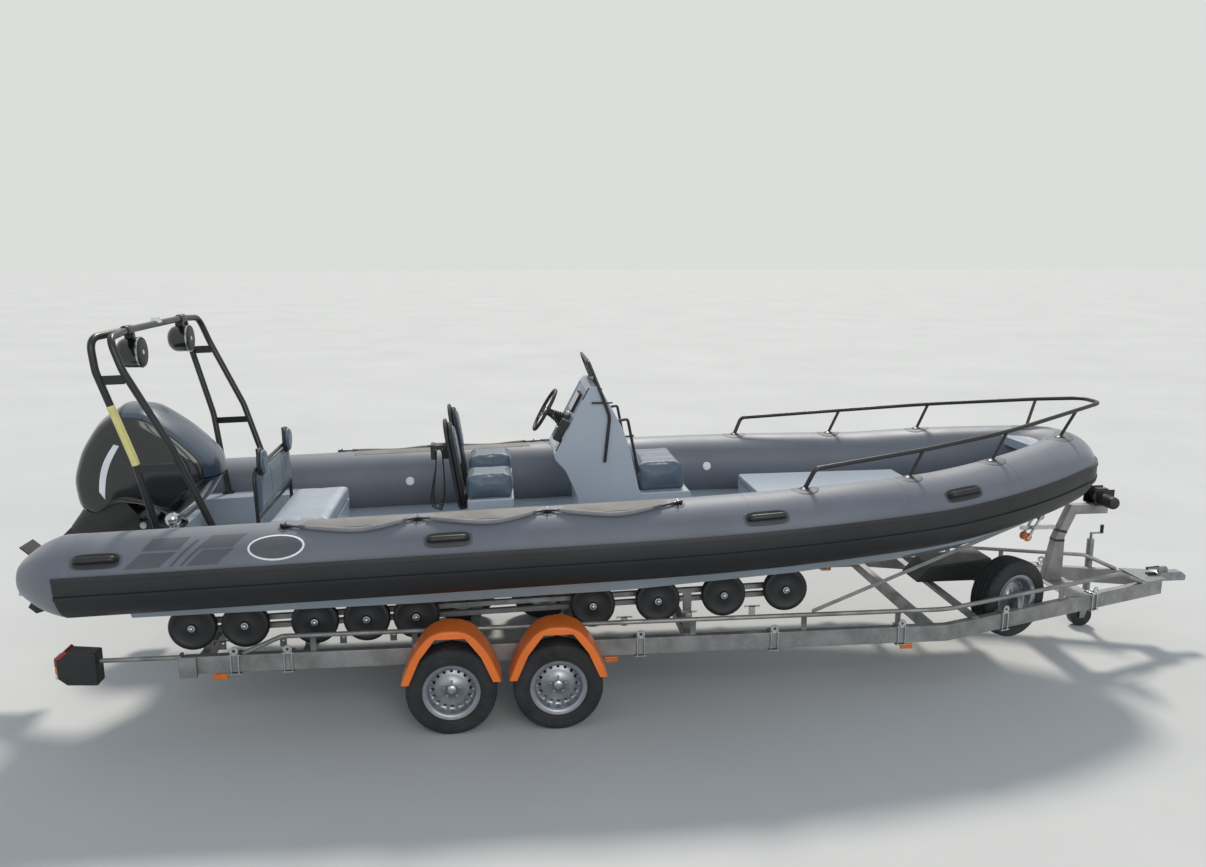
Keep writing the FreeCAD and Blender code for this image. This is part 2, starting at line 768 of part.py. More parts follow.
cones = []
for side in (1, -1):
    stern = Vector(0, side * S.tubeHalf, 0)
    mid = Part.makeCone(S.tubeRadius, S.tubeRadius * 0.84, S.coneLong * 0.45, stern, Vector(-1, 0, 0))
    tail = Part.makeCone(S.tubeRadius * 0.84, S.coneEnd, S.coneLong * 0.55,
                         stern - Vector(S.coneLong * 0.45, 0, 0), Vector(-1, 0, 0))
    cones += [mid, tail]
tube_shape = collar(S.tubeRadius).multiFuse(cones).removeSplitter()
boat_node(solid("collar_tube", tube_shape), "collar")

# Rubbing band: black sheet round the collar's lower outer side, with two raised strakes
BAND = [
    # low angle, high angle, thickness
    (-78, 12, "bandThick"),
    (8, 14, "strakeDeep"),
    (-17, -12, "strakeDeep"),
]
skin = S.tubeRadius + S.hullSeat
bands = [along_collar(lambda place, heading, low=low, high=high, thick=getattr(S, thick):
                      ring_sector(place, heading, skin, skin + thick, low, high))
         for low, high, thick in BAND]
boat_node(solid("band_sheet", bands[0].multiFuse(bands[1:]).removeSplitter()), "rubbing_band")

hull_loft = Part.makeLoft([station(row) for row in HULL_STATIONS], True, True)
collar_seat = collar(S.tubeRadius + S.hullSeat)
transom = Part.makeBox(S.transomThick, 2 * S.transomHalf, S.transomTop - S.deckZ + 1,
                       Vector(S.transomX, -S.transomHalf, S.deckZ - 1))
quarters = [Part.makeBox(S.quarterLong, 240, S.quarterTop - S.deckZ + 1, Vector(S.transomX, y, S.deckZ - 1))
            for y in (-880, 640)]
bow_eye = swept([(7370, 0, -175), (7385, 0, -300), (7421, 0, -300), (7424, 0, -160)], 8, 14)
hull_shape = hull_loft.multiFuse([transom, bow_eye] + quarters).cut(collar_seat).removeSplitter()
hull_shape = max(hull_shape.Solids, key=lambda part: part.Volume)
boat_node(solid("hull", hull_shape), "hull")

# Roller cradles: twin bars each side on posts, with a pin through every roller
ROLLERS = [-3292, -2932, -2453, -2092, -1743, -473, 7, 499, 967]
roller_shapes = []
cradle_pieces = []


def seat_z(x, y):
    """Height of the hull's underside over a place of the trailer."""
    turn = math.radians(S.trim)
    along = (x - S.boatX) / math.cos(turn)
    return to_trailer(along, hull_bottom(along, y))[1]


hubs = [(x, seat_z(x, S.rollerHalf) - (S.rollerRadius + S.seatGap) / math.cos(math.radians(S.trim)) - 1.5)
        for x in ROLLERS]
for x, z in hubs:
    centre = Vector(x, S.rollerHalf - S.rollerThick / 2, z)
    wheel_disc = Part.makeCylinder(S.rollerRadius, S.rollerThick, centre, Y_AXIS)
    wheel_disc = wheel_disc.makeChamfer(12, wheel_disc.Edges[0:1] + wheel_disc.Edges[2:3])
    hub = Part.makeCylinder(S.rollerHub, S.rollerThick + 16, centre - Vector(0, 8, 0), Y_AXIS)
    bore = Part.makeCylinder(S.rollerPin + 0.3, S.rollerThick + 40, centre - Vector(0, 20, 0), Y_AXIS)
    roller_shapes.append(wheel_disc.fuse(hub).cut(bore).removeSplitter())
bar_y = S.cradleHalf - S.cradleBar / 2
for lift in (0, -S.cradlePitch):
    low, high = hubs[0][1] + lift, hubs[-1][1] + lift
    ends = [(hubs[0][0] - 60, low), (hubs[-1][0] + 60, high)]
    bar = Part.Face(polygon([(ends[0][0], bar_y, ends[0][1] - S.cradleBar / 2),
                             (ends[1][0], bar_y, ends[1][1] - S.cradleBar / 2),
                             (ends[1][0], bar_y, ends[1][1] + S.cradleBar / 2),
                             (ends[0][0], bar_y, ends[0][1] + S.cradleBar / 2)]))
    bar = bar.extrude(Vector(0, S.cradleBar, 0))
    cradle_pieces.append(bar)
for x, z in hubs:
    cradle_pieces.append(Part.makeCylinder(S.rollerPin, S.rollerHalf + S.rollerThick / 2 + 22 - bar_y,
                                           Vector(x, bar_y, z), Y_AXIS))
    cradle_pieces.append(Part.makeBox(50, S.cradleBar, 90, Vector(x - 25, bar_y, z - 50)))
for name, x in CROSS_TUBES[:3]:
    top = seat_z(x, S.rollerHalf) - S.rollerRadius
    foot = S.beamTop - S.crossDrop
    cradle_pieces.append(Part.makeBox(60, S.cradleBar, top - foot, Vector(x - 30, bar_y, foot)))
cradle = cradle_pieces[0].multiFuse(cradle_pieces[1:]).removeSplitter()
node(solid("roller_cradles", Part.makeCompound([cradle, mirror_y(cradle)])), "roller_cradles")
roller_shapes += [mirror_y(one) for one in roller_shapes]
node(solid("hull_rollers", Part.makeCompound(roller_shapes)), "hull_rollers")

# Winch post on the drawbar: foot plates, leaning post, arm, with the bow stop under the stem
wide = S.postSide
post = Part.Face(polygon([
    (S.postFootX - wide, -wide / 2, S.beamTop + 8), (S.postFootX + wide, -wide / 2, S.beamTop + 8),
    (S.postMidX + wide / 2, -wide / 2, S.postMidZ),
    (S.postBendX + wide / 2, -wide / 2, S.postBendZ - wide / 2),
    (S.postArmX, -wide / 2, S.postBendZ - wide / 2), (S.postArmX, -wide / 2, S.postBendZ + wide / 2),
    (S.postBendX - 10, -wide / 2, S.postBendZ + wide / 2), (S.postMidX - wide / 2, -wide / 2, S.postMidZ)
])).extrude(Vector(0, wide, 0))
foot_y = arm_y(S.postFootX) + 20
post_foot = Part.makeBox(3 * wide, 2 * foot_y, 8, Vector(S.postFootX - 1.5 * wide, -foot_y, S.beamTop))
node(solid("winch_post", post.fuse(post_foot).removeSplitter()), "winch_post")

drum = Part.makeCylinder(62, 150, Vector(S.winchX, -75, S.winchZ), Y_AXIS)
cheeks = [Part.makeBox(170, 10, 150, Vector(S.winchX - 95, y, S.postBendZ + wide / 2)) for y in (-85, 75)]
motor = Part.makeCylinder(52, 230, Vector(S.winchX - 20, -240, S.winchZ - 20), Y_AXIS)
foot = Part.makeBox(170, 170, 10, Vector(S.winchX - 95, -85, S.postBendZ + wide / 2))
node(solid("winch", drum.multiFuse(cheeks + [motor, foot]).removeSplitter()), "winch")

stop_arm = Part.makeBox(330, 30, 30, Vector(S.postMidX - 340, -15, 1000))
stop_rollers = []
for x, z in ((3268, 940), (3366, 1122)):
    stop_rollers.append(Part.makeCylinder(36, 70, Vector(x, -35, z), Y_AXIS))
stop_bar = Part.Face(polygon([(3240, -12, 925), (3275, -12, 905), (3400, -12, 1120), (3360, -12, 1145)]))
stop_bar = stop_bar.extrude(Vector(0, 24, 0))
bow_stop = stop_arm.multiFuse(stop_rollers + [stop_bar]).cut(post).removeSplitter()
node(solid("bow_stop_frame", max(bow_stop.Solids, key=lambda part: part.Volume)), "bow_stop")

# Spare wheel, upright beside the drawbar on its carrier
spare = wheel("spare_wheel")
spare.Placement.Rotation = Rotation(Z_AXIS, 180 + S.spareTurn)
put(spare, ("spareX", "spareY", "spareZ"))
node(spare, "spare_wheel")
CARRIER = [
    # from X, Y, Z to X, Y, Z, about the spare's centre and along its plane
    (-40, -131, -110, 40, -121, 45),
    (-20, -122, -20, 20, -44.3, 20),
]
carrier = [Part.makeBox(x1 - x0, y1 - y0, z1 - z0, Vector(x0, y0, z0)) for x0, y0, z0, x1, y1, z1 in CARRIER]
carrier = carrier[0].multiFuse(carrier[1:]).removeSplitter()
carrier = moved(carrier, (S.spareX, S.spareY, S.spareZ), Rotation(Z_AXIS, S.spareTurn))
node(solid("spare_carrier", carrier), "spare_carrier")

# Lamp arms and lamps at the rear corners
arm_bar = rod("lamp_arm", "16", "beamRearX - lampRearX", ("lampRearX", "beamHalf", "lampArmZ"), X_AXIS)
arm_clamp = block("lamp_arm_clamp", ("120", "30", "150"),
                  ("beamRearX - 20", "beamHalf + beamWide/2", "beamTop - 140"))
arm_tab = block("lamp_arm_tab", ("20", "70", "60"), ("beamRearX - 20", "beamHalf - 20", "lampArmZ - 30"))
node(both_sides("lamp_arms", fused("lamp_arm_left", [arm_bar, arm_clamp, arm_tab])), "lamp_arms")
lamp_body = padded("rear_lamp", "XZ_Plane", [
    ("lampRearX - 0.3", "390"), ("lampRearX - 0.3", "620"), ("lampFaceX + 60", "640"),
    ("lampFaceX", "590"), ("lampFaceX", "450"), ("lampFaceX + 60", "400")], "130")
put(lamp_body, ("0", "beamHalf", "0"))
node(both_sides("rear_lamps", lamp_body), "rear_lamps")

# Jockey leg and wheel: clamped beside the drawbar, lowered to the ground
jockey_y = arm_y(S.jockeyX) + S.beamWide / 2 + 45
leg = Part.makeCylinder(S.jockeyTube + 6, S.jockeyTop - 330, Vector(S.jockeyX, jockey_y, 330))
screw = Part.makeCylinder(12, 60, Vector(S.jockeyX, jockey_y, S.jockeyTop))
handle = Part.makeBox(120, 14, 14, Vector(S.jockeyX - 10, jockey_y - 7, S.jockeyTop + 46))
clamp = Part.makeBox(90, 80, 90, Vector(S.jockeyX - 45, jockey_y - 80, 445))
inner_leg = Part.makeCylinder(S.jockeyTube, 130, Vector(S.jockeyX, jockey_y, 2 * S.jockeyRadius + 35))
leg = leg.multiFuse([screw, handle, clamp, inner_leg]).cut(side_beam.Shape).removeSplitter()
node(solid("jockey_leg", leg), "jockey_leg")
fork_top = 2 * S.jockeyRadius + 34.5
crown = Part.makeBox(90, 90, 14, Vector(S.jockeyX - 65, jockey_y - 45, fork_top - 14))
fork_blades = []
for y in (-45, 37):
    fork_blades.append(Part.Face(polygon([
        (S.jockeyX + 25, jockey_y + y, fork_top - 5), (S.jockeyX - 65, jockey_y + y, fork_top - 5),
        (S.jockeyX - S.jockeyTrail - 22, jockey_y + y, S.jockeyRadius - 20),
        (S.jockeyX - S.jockeyTrail + 22, jockey_y + y, S.jockeyRadius - 20)])).extrude(Vector(0, 8, 0)))
hub_at = Vector(S.jockeyX - S.jockeyTrail, jockey_y, S.jockeyRadius)
pin = Part.makeCylinder(S.jockeyPin, 90, hub_at - Vector(0, 45, 0), Y_AXIS)
node(solid("jockey_fork", crown.multiFuse(fork_blades + [pin]).removeSplitter()), "jockey_fork")
roll = Part.makeCylinder(S.jockeyRadius, S.jockeyThick, hub_at - Vector(0, S.jockeyThick / 2, 0), Y_AXIS)
roll = roll.cut(Part.makeCylinder(S.jockeyPin + 0.3, 90, hub_at - Vector(0, 45, 0), Y_AXIS))
node(solid("jockey_wheel", roll), "jockey_wheel")

# Storage box on the drawbar
box_body = padded("storage_box", "XZ_Plane", [
    ("boxRearX", "boxFloor"), ("boxFrontX", "boxFloor"), ("boxFrontX", "boxTop"),
    ("boxRearX + 120", "boxTop - 60")], "330")
put(box_body, ("0", "150", "0"))
node(box_body, "storage_box")

# Console: moulded housing with sloping dash and a seat base ahead of it
console = padded("console_moulding", "XZ_Plane", [
    ("consoleX + 175", "deckZ"), ("consoleX + 178", "0"), ("consoleX + 172", "125"), ("consoleX + 90", "330"),
    ("consoleX", "435"), ("consoleX + 300", "965"), ("consoleX + 372", "950"), ("consoleX + 530", "640"),
    ("consoleX + 585", "460"), ("consoleX + 650", "125"), ("consoleX + 1045", "125"),
    ("consoleX + 1045", "deckZ")],
    "2*consoleHalf")
rounded(console, "24", Y_AXIS)
doc.recompute()
console_form = console.Shape.copy()
boat_node(console, "console")
cushion = padded("console_cushion", "XZ_Plane", [
    ("consoleX + 656", "125"), ("consoleX + 1020", "125"), ("consoleX + 1000", "seatTop"),
    ("consoleX + 616", "seatTop")], "600")
eased(cushion, "padRound")
boat_node(cushion, "console_cushion")

# Rails and screen of the console
rail_y = S.consoleHalf + 17
side_rail = swept([(3583, rail_y, 388), (3632, rail_y, 735), (3575, rail_y, 905), (3489, 330, 1146),
                   (3489, 0, 1146)], 12, [160, 160, 70])
stubs = [Part.makeCylinder(9, 18, Vector(x, S.consoleHalf - 1, z), Y_AXIS)
         for x, z in ((3590, 430), (3600, 840))]
front_rail = swept([(3700, 324, 690), (3770, 324, 700), (3840, 324, 285), (3790, 324, 280)], 11, [22, 22])
hoop = [side_rail, front_rail] + stubs
hoop += [mirror_y(piece) for piece in hoop]
hoop = hoop[0].multiFuse(hoop[1:]).cut(console_form).removeSplitter()
boat_node(solid("console_rails", hoop), "console_rails")
pane = Part.Face(polygon([(3577, -300, 918), (3577, 300, 918), (3502, 285, 1128), (3502, -285, 1128)]))
pane = pane.extrude(Vector(S.screenThick * 0.94, 0, S.screenThick * 0.34))
pane = pane.cut([hoop, console_form])
boat_node(solid("screen_pane", max(pane.Solids, key=lambda part: part.Volume)), "screen_pane")

# Steering wheel and its column; the wheel is modelled about its own axis, then leaned
helm_at = Vector(S.helmX, 0, S.helmZ)
helm_axis = Vector(math.cos(math.radians(S.helmLean)), 0, -math.sin(math.radians(S.helmLean)))


def leaned(shape):
    """Sets a shape modelled about Z onto the steering axis."""
    return moved(shape, helm_at, Rotation(Z_AXIS, helm_axis))


helm = many_sided(Vector(S.helmRadius, 0, 0), Y_AXIS, X_AXIS, S.helmTube, 12).revolve(Vector(), Z_AXIS, 360)
for angle in (60, 180, 300):
    spoke = Part.makeBox(S.helmRadius, 30, 8, Vector(0, -15, -4))
    spoke.rotate(Vector(), Z_AXIS, angle)
    helm = helm.fuse(spoke)
helm = helm.fuse(Part.makeCylinder(36, 62, Vector(0, 0, -14)))
boat_node(solid("helm", leaned(helm.removeSplitter())), "steering_wheel")
column = Part.makeCylinder(30, 180, Vector(0, 0, 48.5)).fuse(Part.makeCylinder(62, 120, Vector(0, 0, 150)))
column = leaned(column).cut(console_form)
boat_node(solid("helm_column", max(column.Solids, key=lambda part: -part.BoundBox.XMin)), "helm_column")

# Throttle box on the dash, to starboard of the wheel
throttle = Part.makeBox(90, 90, 170, Vector(3225, -300, 540))
throttle = throttle.fuse(Part.makeBox(120, 30, 60, Vector(3245, -270, 650)))
lever = swept([(3270, -245, 640), (3215, -245, 735), (3215, -285, 735)], 10, 14)
throttle = throttle.rotated(Vector(3270, 0, 600), Y_AXIS, 29).cut(console_form)
throttle = max(throttle.Solids, key=lambda part: part.Volume)
boat_node(solid("throttle_box", throttle.fuse(lever).removeSplitter()), "throttle_box")

# Jockey seats: moulded bases, cushions and tall oval backs with a rope hook on the near one
base = padded("jockey_base", "XZ_Plane", [
    ("jockeyRearX", "deckZ"), ("jockeyFrontX - 30", "deckZ"), ("jockeyFrontX + 6", "jockeySeatZ"),
    ("jockeyRearX", "jockeySeatZ")], "jockeyWide")
rounded(base, "padRound", Z_AXIS)
seat = padded("jockey_cushion", "XZ_Plane", [
    ("jockeyRearX + 2", "jockeySeatZ"), ("jockeyFrontX", "jockeySeatZ"), ("jockeyFrontX + 13", "seatTop"),
    ("jockeyRearX + 2", "seatTop")], "jockeyWide")
eased(seat, "padRound")
for piece in (base, seat):
    put(piece, ("0", "seatY", "0"))
doc.recompute()
base_form = base.Shape.copy()
boat_node(both_sides("jockey_base_pair", base), "jockey_bases")
boat_node(both_sides("jockey_cushion_pair", seat), "jockey_cushions")


def oval(wide, high, thick, at):
    """An upright pad with round ends facing forward, its front face's middle at a place."""
    end = wide / 2
    rise = high / 2 - end
    edges = [Part.LineSegment(Vector(0, end, -rise), Vector(0, end, rise)).toShape(),
             Part.Arc(Vector(0, end, rise), Vector(0, 0, rise + end), Vector(0, -end, rise)).toShape(),
             Part.LineSegment(Vector(0, -end, rise), Vector(0, -end, -rise)).toShape(),
             Part.Arc(Vector(0, -end, -rise), Vector(0, 0, -rise - end), Vector(0, end, -rise)).toShape()]
    pad = Part.Face(Part.Wire(edges)).extrude(Vector(-thick, 0, 0))
    rims = [edge for edge in pad.Edges if abs(edge.tangentAt(edge.FirstParameter).x) < 0.01]
    return moved(pad.makeChamfer(thick * 0.3, rims), at)


shell = oval(S.backWide, S.backHigh, S.backShell, (-S.backPad, 0, S.backHigh / 2))
pad = oval(S.backWide - 40, S.backHigh - 60, S.backPad + 1, (0, 0, S.backHigh / 2))
bracket = Part.makeBox(S.backPad + 20, 120, 110, Vector(-S.backPad - 10, -60, 12))
back = shell.multiFuse([pad, bracket]).removeSplitter()
back = moved(back, (S.backFootX, S.seatY, S.backFootZ), Rotation(Y_AXIS, -S.backLean)).cut(base_form)
ROPE_HOOK = [
    # length, width, height, from X, Y, Z
    (150, 110, 26, 2299, -405, 560),
    (30, 110, 110, 2299, -405, 482),
    (90, 90, 90, 2385, -395, 482),
]
hook = [Part.makeBox(long, wide, high, Vector(x, y, z)) for long, wide, high, x, y, z in ROPE_HOOK]
hook = hook[0].multiFuse(hook[1:])
near_back = mirror_y(back).fuse(hook).removeSplitter()
boat_node(solid("jockey_back_pair", Part.makeCompound([back, near_back])), "jockey_backs")

# Rope hank: the outer shape of long loops that hang from the hook
HANK = [
    # Z, rear X, front X, half width, middle Y
    (559.7, 2332, 2378, 24, -350),
    (476, 2332, 2380, 26, -350),
    (330, 2302, 2392, 34, -356),
    (200, 2252, 2402, 42, -362),
    (92, 2268, 2382, 36, -362),
]


def soft_ring(z, rear, front, half_wide, middle_y):
    """An eight-cornered ring across the hank."""
    reach = (front - rear) / 2
    middle_x = (front + rear) / 2
    return polygon([(middle_x + reach * a, middle_y + half_wide * b, z) for a, b in (
        (1, 0.45), (0.55, 1), (-0.55, 1), (-1, 0.45), (-1, -0.45), (-0.55, -1), (0.55, -1), (1, -0.45))])


boat_node(solid("rope_loops", Part.makeLoft([soft_ring(*row) for row in HANK], True, True)), "rope_hank")

# Stern bench: base, cushion, padded back in a tube hoop, two headrests
base = padded("bench_base", "XZ_Plane", [
    ("benchRearX", "deckZ"), ("benchFrontX - 25", "deckZ"), ("benchFrontX", "0"), ("benchRearX", "0")],
    "2*benchHalf + 80")
rounded(base, "padRound", Z_AXIS)
boat_node(base, "bench_base")
cushion = padded("bench_cushion", "XZ_Plane", [
    ("benchRearX + 65", "0"), ("benchFrontX + 20", "0"), ("benchFrontX + 20", "benchTop"),
    ("benchRearX + 65", "benchTop")], "2*benchHalf")
eased(cushion, "padRound")
boat_node(cushion, "bench_cushion")
middle_z = (S.benchBackLow + S.benchBackTop) / 2
hoop_half = S.benchBackHalf + 12
hoop = swept([(S.benchBackX, hoop_half, 0), (S.benchBackX, hoop_half, S.benchBackTop + 12),
              (S.benchBackX, 0, S.benchBackTop + 12)], 14, 90)
cross = Part.makeCylinder(12, S.benchBackHalf + 12, Vector(S.benchBackX, 0, S.benchBackLow - 16), Y_AXIS)
posts = [Part.makeCylinder(9, 150, Vector(S.benchBackX + 5.8, S.headrestY, S.benchBackTop))]
hoop = [hoop, cross] + posts
hoop += [mirror_y(piece) for piece in hoop]
hoop = hoop[0].multiFuse(hoop[1:]).removeSplitter()
boat_node(solid("bench_hoop", hoop), "bench_hoop")
back = padded("bench_board", "YZ_Plane", [
    ("-benchBackHalf", "benchBackLow"), ("benchBackHalf", "benchBackLow"), ("benchBackHalf", "benchBackTop"),
    ("-benchBackHalf", "benchBackTop")], "56", "benchBackX")
rounded(back, "70", X_AXIS)
doc.recompute()
board = back.Shape.makeFillet(S.padRound - 6, [edge for edge in back.Shape.Edges if abs(edge.tangentAt(
    edge.FirstParameter).x) < 0.01])
boat_node(solid("bench_back_pad", board.cut(hoop)), "bench_back")
rests = []
for side in (1, -1):
    rest = oval(S.headrestWide, 206, 46, (S.benchBackX + 61, side * S.headrestY, 541))
    rests.append(rest.cut(board))
boat_node(solid("headrest_pair", Part.makeCompound(rests)), "headrests")

# Bow locker: open box on the deck, its lid a cushioned board hinged along the front
LOCKER = [("lockerRearX", "lockerHalf"), ("lockerFrontX", "lockerEnd")]
KNUCKLES = [-210, 150]
rear, front = LOCKER
around = [rear, front, (front[0], "-" + front[1]), (rear[0], "-" + rear[1])]
locker = padded("locker_box", "XY_Plane", around, "lidLow - deckZ", "deckZ", middle=False)
hollow = padded("locker_hollow", "XY_Plane", [
    (rear[0] + " + lockerWall", rear[1] + " - lockerWall"),
    (front[0] + " - lockerWall", front[1] + " - lockerWall"),
    (front[0] + " - lockerWall", f"lockerWall - {front[1]}"),
    (rear[0] + " + lockerWall", f"lockerWall - {rear[1]}")],
    "lidLow - deckZ", "deckZ + 45", middle=False)
doc.recompute()
knuckles = [Part.makeCylinder(S.knuckleRadius, S.knuckleLong, Vector(S.lockerFrontX, y, S.lidLow), Y_AXIS)
            for y in KNUCKLES]
reliefs = [Part.makeCylinder(S.knuckleRadius + S.runGap, S.knuckleLong + 2 * S.runGap,
                             Vector(S.lockerFrontX, y - S.runGap, S.lidLow), Y_AXIS) for y in KNUCKLES]
leaf_x = S.lockerFrontX - S.leafLong
leaves = [Part.makeBox(S.leafLong, S.knuckleLong, S.leafThick, Vector(leaf_x, y, S.lidLow)) for y in KNUCKLES]
locker_shape = locker.Shape.cut(hollow.Shape).cut([hull_shape] + reliefs)
boat_node(solid("locker", locker_shape), "bow_locker")
lid = padded("locker_lid", "XY_Plane", around, "lidTop - lidLow", "lidLow", middle=False)
eased(lid, "18")
doc.recompute()
hinged_lid = lid.Shape.multiFuse(knuckles + leaves).removeSplitter()
boat_node(solid("hinged_lid", hinged_lid), "bow_lid")
nose_deck = Part.makeBox(440, 700, 70, Vector(7020, -350, 235)).cut(collar_seat)
nose_deck = min(nose_deck.Solids, key=lambda part: abs(part.CenterOfMass.y) + abs(part.CenterOfMass.x - 7240))
boat_node(solid("nose_deck", nose_deck), "nose_deck")

# Bow rail: one bent tube on short posts, each on a round patch
RAIL_POSTS = [
    # foot X, top X, Y, Z
    (5741, 5843, 888, 465),
    (6493, 6584, 684, 519),
    (7275, 7365, 300, 583),
]
rail_foot = on_collar(4915, 90, 1)
tops = [(x, y, z) for _, x, y, z in RAIL_POSTS]
half_path = [tuple(rail_foot), (4985, 1058, 412)] + tops + [(7672, 130, 602)]
path = half_path + [(x, -y, z) for x, y, z in reversed(half_path)]
bends = [60, 2500, 2500, 1200, 140]
bow_rail = [swept(path, S.bowRailRadius, bends + bends[::-1])]
feet = [rail_foot]
for foot_x, top_x, y, z in RAIL_POSTS:
    foot = on_collar(foot_x, 90, 1)
    feet.append(foot)
    top = Vector(top_x, y, z)
    bow_rail.append(disc(foot, top - foot, S.bowRailRadius - 3).extrude(top - foot))
    bow_rail.append(mirror_y(bow_rail[-1]))
patches = [Part.makeCylinder(S.patchRadius, S.patchThick + 18, foot - Vector(0, 0, 18)) for foot in feet]
patches += [mirror_y(patch) for patch in patches]
bow_rail = bow_rail[0].multiFuse(bow_rail[1:] + patches).cut(collar_seat)
bow_rail = max(bow_rail.Solids, key=lambda part: part.Volume)
boat_node(solid("bow_rail", bow_rail.removeSplitter()), "bow_rail")

# Grab handles along the collar's outer sides
HANDLES = [264, 2446, 4548, 6044]
handles = []
for x in HANDLES:
    centre, heading, outward = collar_place(x)
    out = (on_collar(x, S.handleAngle) - centre).normalize()
    skin_at = centre + out * S.tubeRadius
    bar = swept([skin_at - heading * 122 + out * 2, skin_at - heading * 90 + out * 44,
                 skin_at + heading * 90 + out * 44, skin_at + heading * 122 + out * 2], 12, 24)
    pads = [Part.makeCylinder(27, 26, skin_at + heading * along - out * 16, out) for along in (-122, 122)]
    handles.append(bar.multiFuse(pads).cut(collar_seat).removeSplitter())
handles = [max(handle.Solids, key=lambda part: part.Volume) for handle in handles]
handles += [mirror_y(one) for one in handles]
boat_node(solid("grab_handle_set", Part.makeCompound(handles)), "grab_handles")

# Grab lines: rope in shallow loops along the collar, through staples on round pads
RINGS = [1400, 2247, 3102, 3979]
SAG = [
    # distance past the ring, degrees below it
    (38, 0.6),
    (150, 9),
    (320, 19),
    (500, 24),
    (672, 13),
    (809, 0.6),
]
route = [on_collar(RINGS[0], S.ringAngle, S.lineProud)]
for ring_x in RINGS[:-1]:
    route += [on_collar(ring_x + past, S.ringAngle - fall, S.lineProud) for past, fall in SAG]
del route[1]
del route[-1]
route.append(on_collar(RINGS[-1], S.ringAngle, S.lineProud))


def cord(points, radius):
    """A free cord's tube: every arc as large as its two runs allow."""
    runs = [after - before for before, after in zip(points, points[1:])]
    bends = []
    for run, following in zip(runs, runs[1:]):
        turn = run.getAngle(following)
        bends.append(0.45 * min(run.Length, following.Length) / math.tan(turn / 2))
    print(f"cord: length {sum(run.Length for run in runs):.0f}, runs {min(run.Length for run in runs):.0f}"
          f" to {max(run.Length for run in runs):.0f}, smallest arc {min(bends):.0f}")
    return swept(points, radius, bends, 8)


STAPLE = [
    # across the rope, out from the tube's skin
    (-18.5, -2),
    (-18.5, 30.5),
    (18.5, 30.5),
    (18.5, -2),
    (11.5, -2),
    (11.5, 23.5),
    (-11.5, 23.5),
    (-11.5, -2),
]
staples = []
for ring_x in RINGS:
    centre, heading, _ = collar_place(ring_x)
    out = (on_collar(ring_x, S.ringAngle) - centre).normalize()
    across = heading.cross(out).normalize()
    skin_at = centre + out * S.tubeRadius
    pad = Part.makeCylinder(30, 16, skin_at - out * 12, out)
    ring = [skin_at + across * wide + out * tall - heading * S.stapleThick / 2 for wide, tall in STAPLE]
    bow = Part.Face(polygon(ring)).extrude(heading * S.stapleThick)
    staples.append(pad.fuse(bow))
for end, before in ((route[0], route[1] - route[0]), (route[-1], route[-2] - route[-1])):
    away = before.normalize() * -1
    stop = Part.makeCylinder(11, 34, end, away)
    staples.append(stop)
staples = staples[0].multiFuse(staples[1:]).cut(collar_seat)
staples = [one for one in staples.Solids if one.Volume > 2000]
staples += [mirror_y(one) for one in staples]
boat_node(solid("staple_set", Part.makeCompound(staples)), "line_staples")
line = cord(route, S.lineRadius)
boat_node(solid("line_left", line), "grab_line_left")
boat_node(solid("line_right", mirror_y(line)), "grab_line_right")

# Arch: two curved legs each side, flat plates between them, one cross tube
LEG_PATHS = [
    # X, Y, Z down the leg from the cross tube's coupling to its foot
    [(343, 590, 1528), (248, 975, 1512), (265, 985, 1300), (415, 930, 700), (500, 826, 32)],
    [(343, 590, 1528), (365, 965, 1508), (430, 985, 1300), (665, 940, 770), (890, 826, 32)],
]
cross_at = Vector(S.archCrossX, 0, S.archCrossZ)
arch = [Part.makeCylinder(S.archRadius, S.archCrossY, cross_at, Y_AXIS),
        Part.makeCylinder(S.archRadius + 9, 84, cross_at + Vector(0, S.archCrossY - 42, 0), Y_AXIS)]
for leg_path in LEG_PATHS:
    arch.append(swept(leg_path, S.archRadius, [105, 300, 500]))
    foot_x, foot_y, foot_z = leg_path[-1]
    arch.append(Part.makeBox(90, 60, 9, Vector(foot_x - 45, foot_y - 32, S.quarterTop)))
PLATES = [
    # rear X, front X, Y, Z, height
    (275, 440, 982, 1240, 60),
    (432, 705, 934, 640, 52),
]
for rear_x, front_x, y, z, high in PLATES:
    arch.append(Part.makeBox(front_x - rear_x, 10, high, Vector(rear_x, y - 5, z - high / 2)))
arch += [mirror_y(piece) for piece in arch]
arch = arch[0].multiFuse(arch[1:]).cut([collar_seat, hull_shape]).removeSplitter()
arch = max(arch.Solids, key=lambda part: part.Volume)
boat_node(solid("arch_frame", arch), "arch")

# Speaker pods under the cross tube, and the light on top of it
pods = []
for side in (1, -1):
    at = Vector(S.archCrossX - 62, side * S.speakerY, S.speakerZ)
    drum = Part.makeCylinder(S.speakerRadius, 120, at + Vector(20, 0, 0), X_AXIS)
    rear_dome = Part.makeCone(S.speakerRadius * 0.55, S.speakerRadius, 50, at - Vector(30, 0, 0), X_AXIS)
    hanger = Part.makeCylinder(16, S.archCrossZ - S.speakerZ, Vector(S.archCrossX, at.y, S.speakerZ))
    pods.append(drum.multiFuse([rear_dome, hanger]).cut(arch).removeSplitter())
pods = [max(pod.Solids, key=lambda part: part.Volume) for pod in pods]
boat_node(solid("speaker_pair", Part.makeCompound(pods)), "speakers")
light = Part.makeCylinder(30, 42, Vector(S.archCrossX, 0, S.archCrossZ + 8))
light = light.fuse(Part.makeBox(70, 56, 16, Vector(S.archCrossX - 35, -28, S.archCrossZ + 8))).cut(arch)
boat_node(solid("light", max(light.Solids, key=lambda part: part.Volume)), "nav_light")

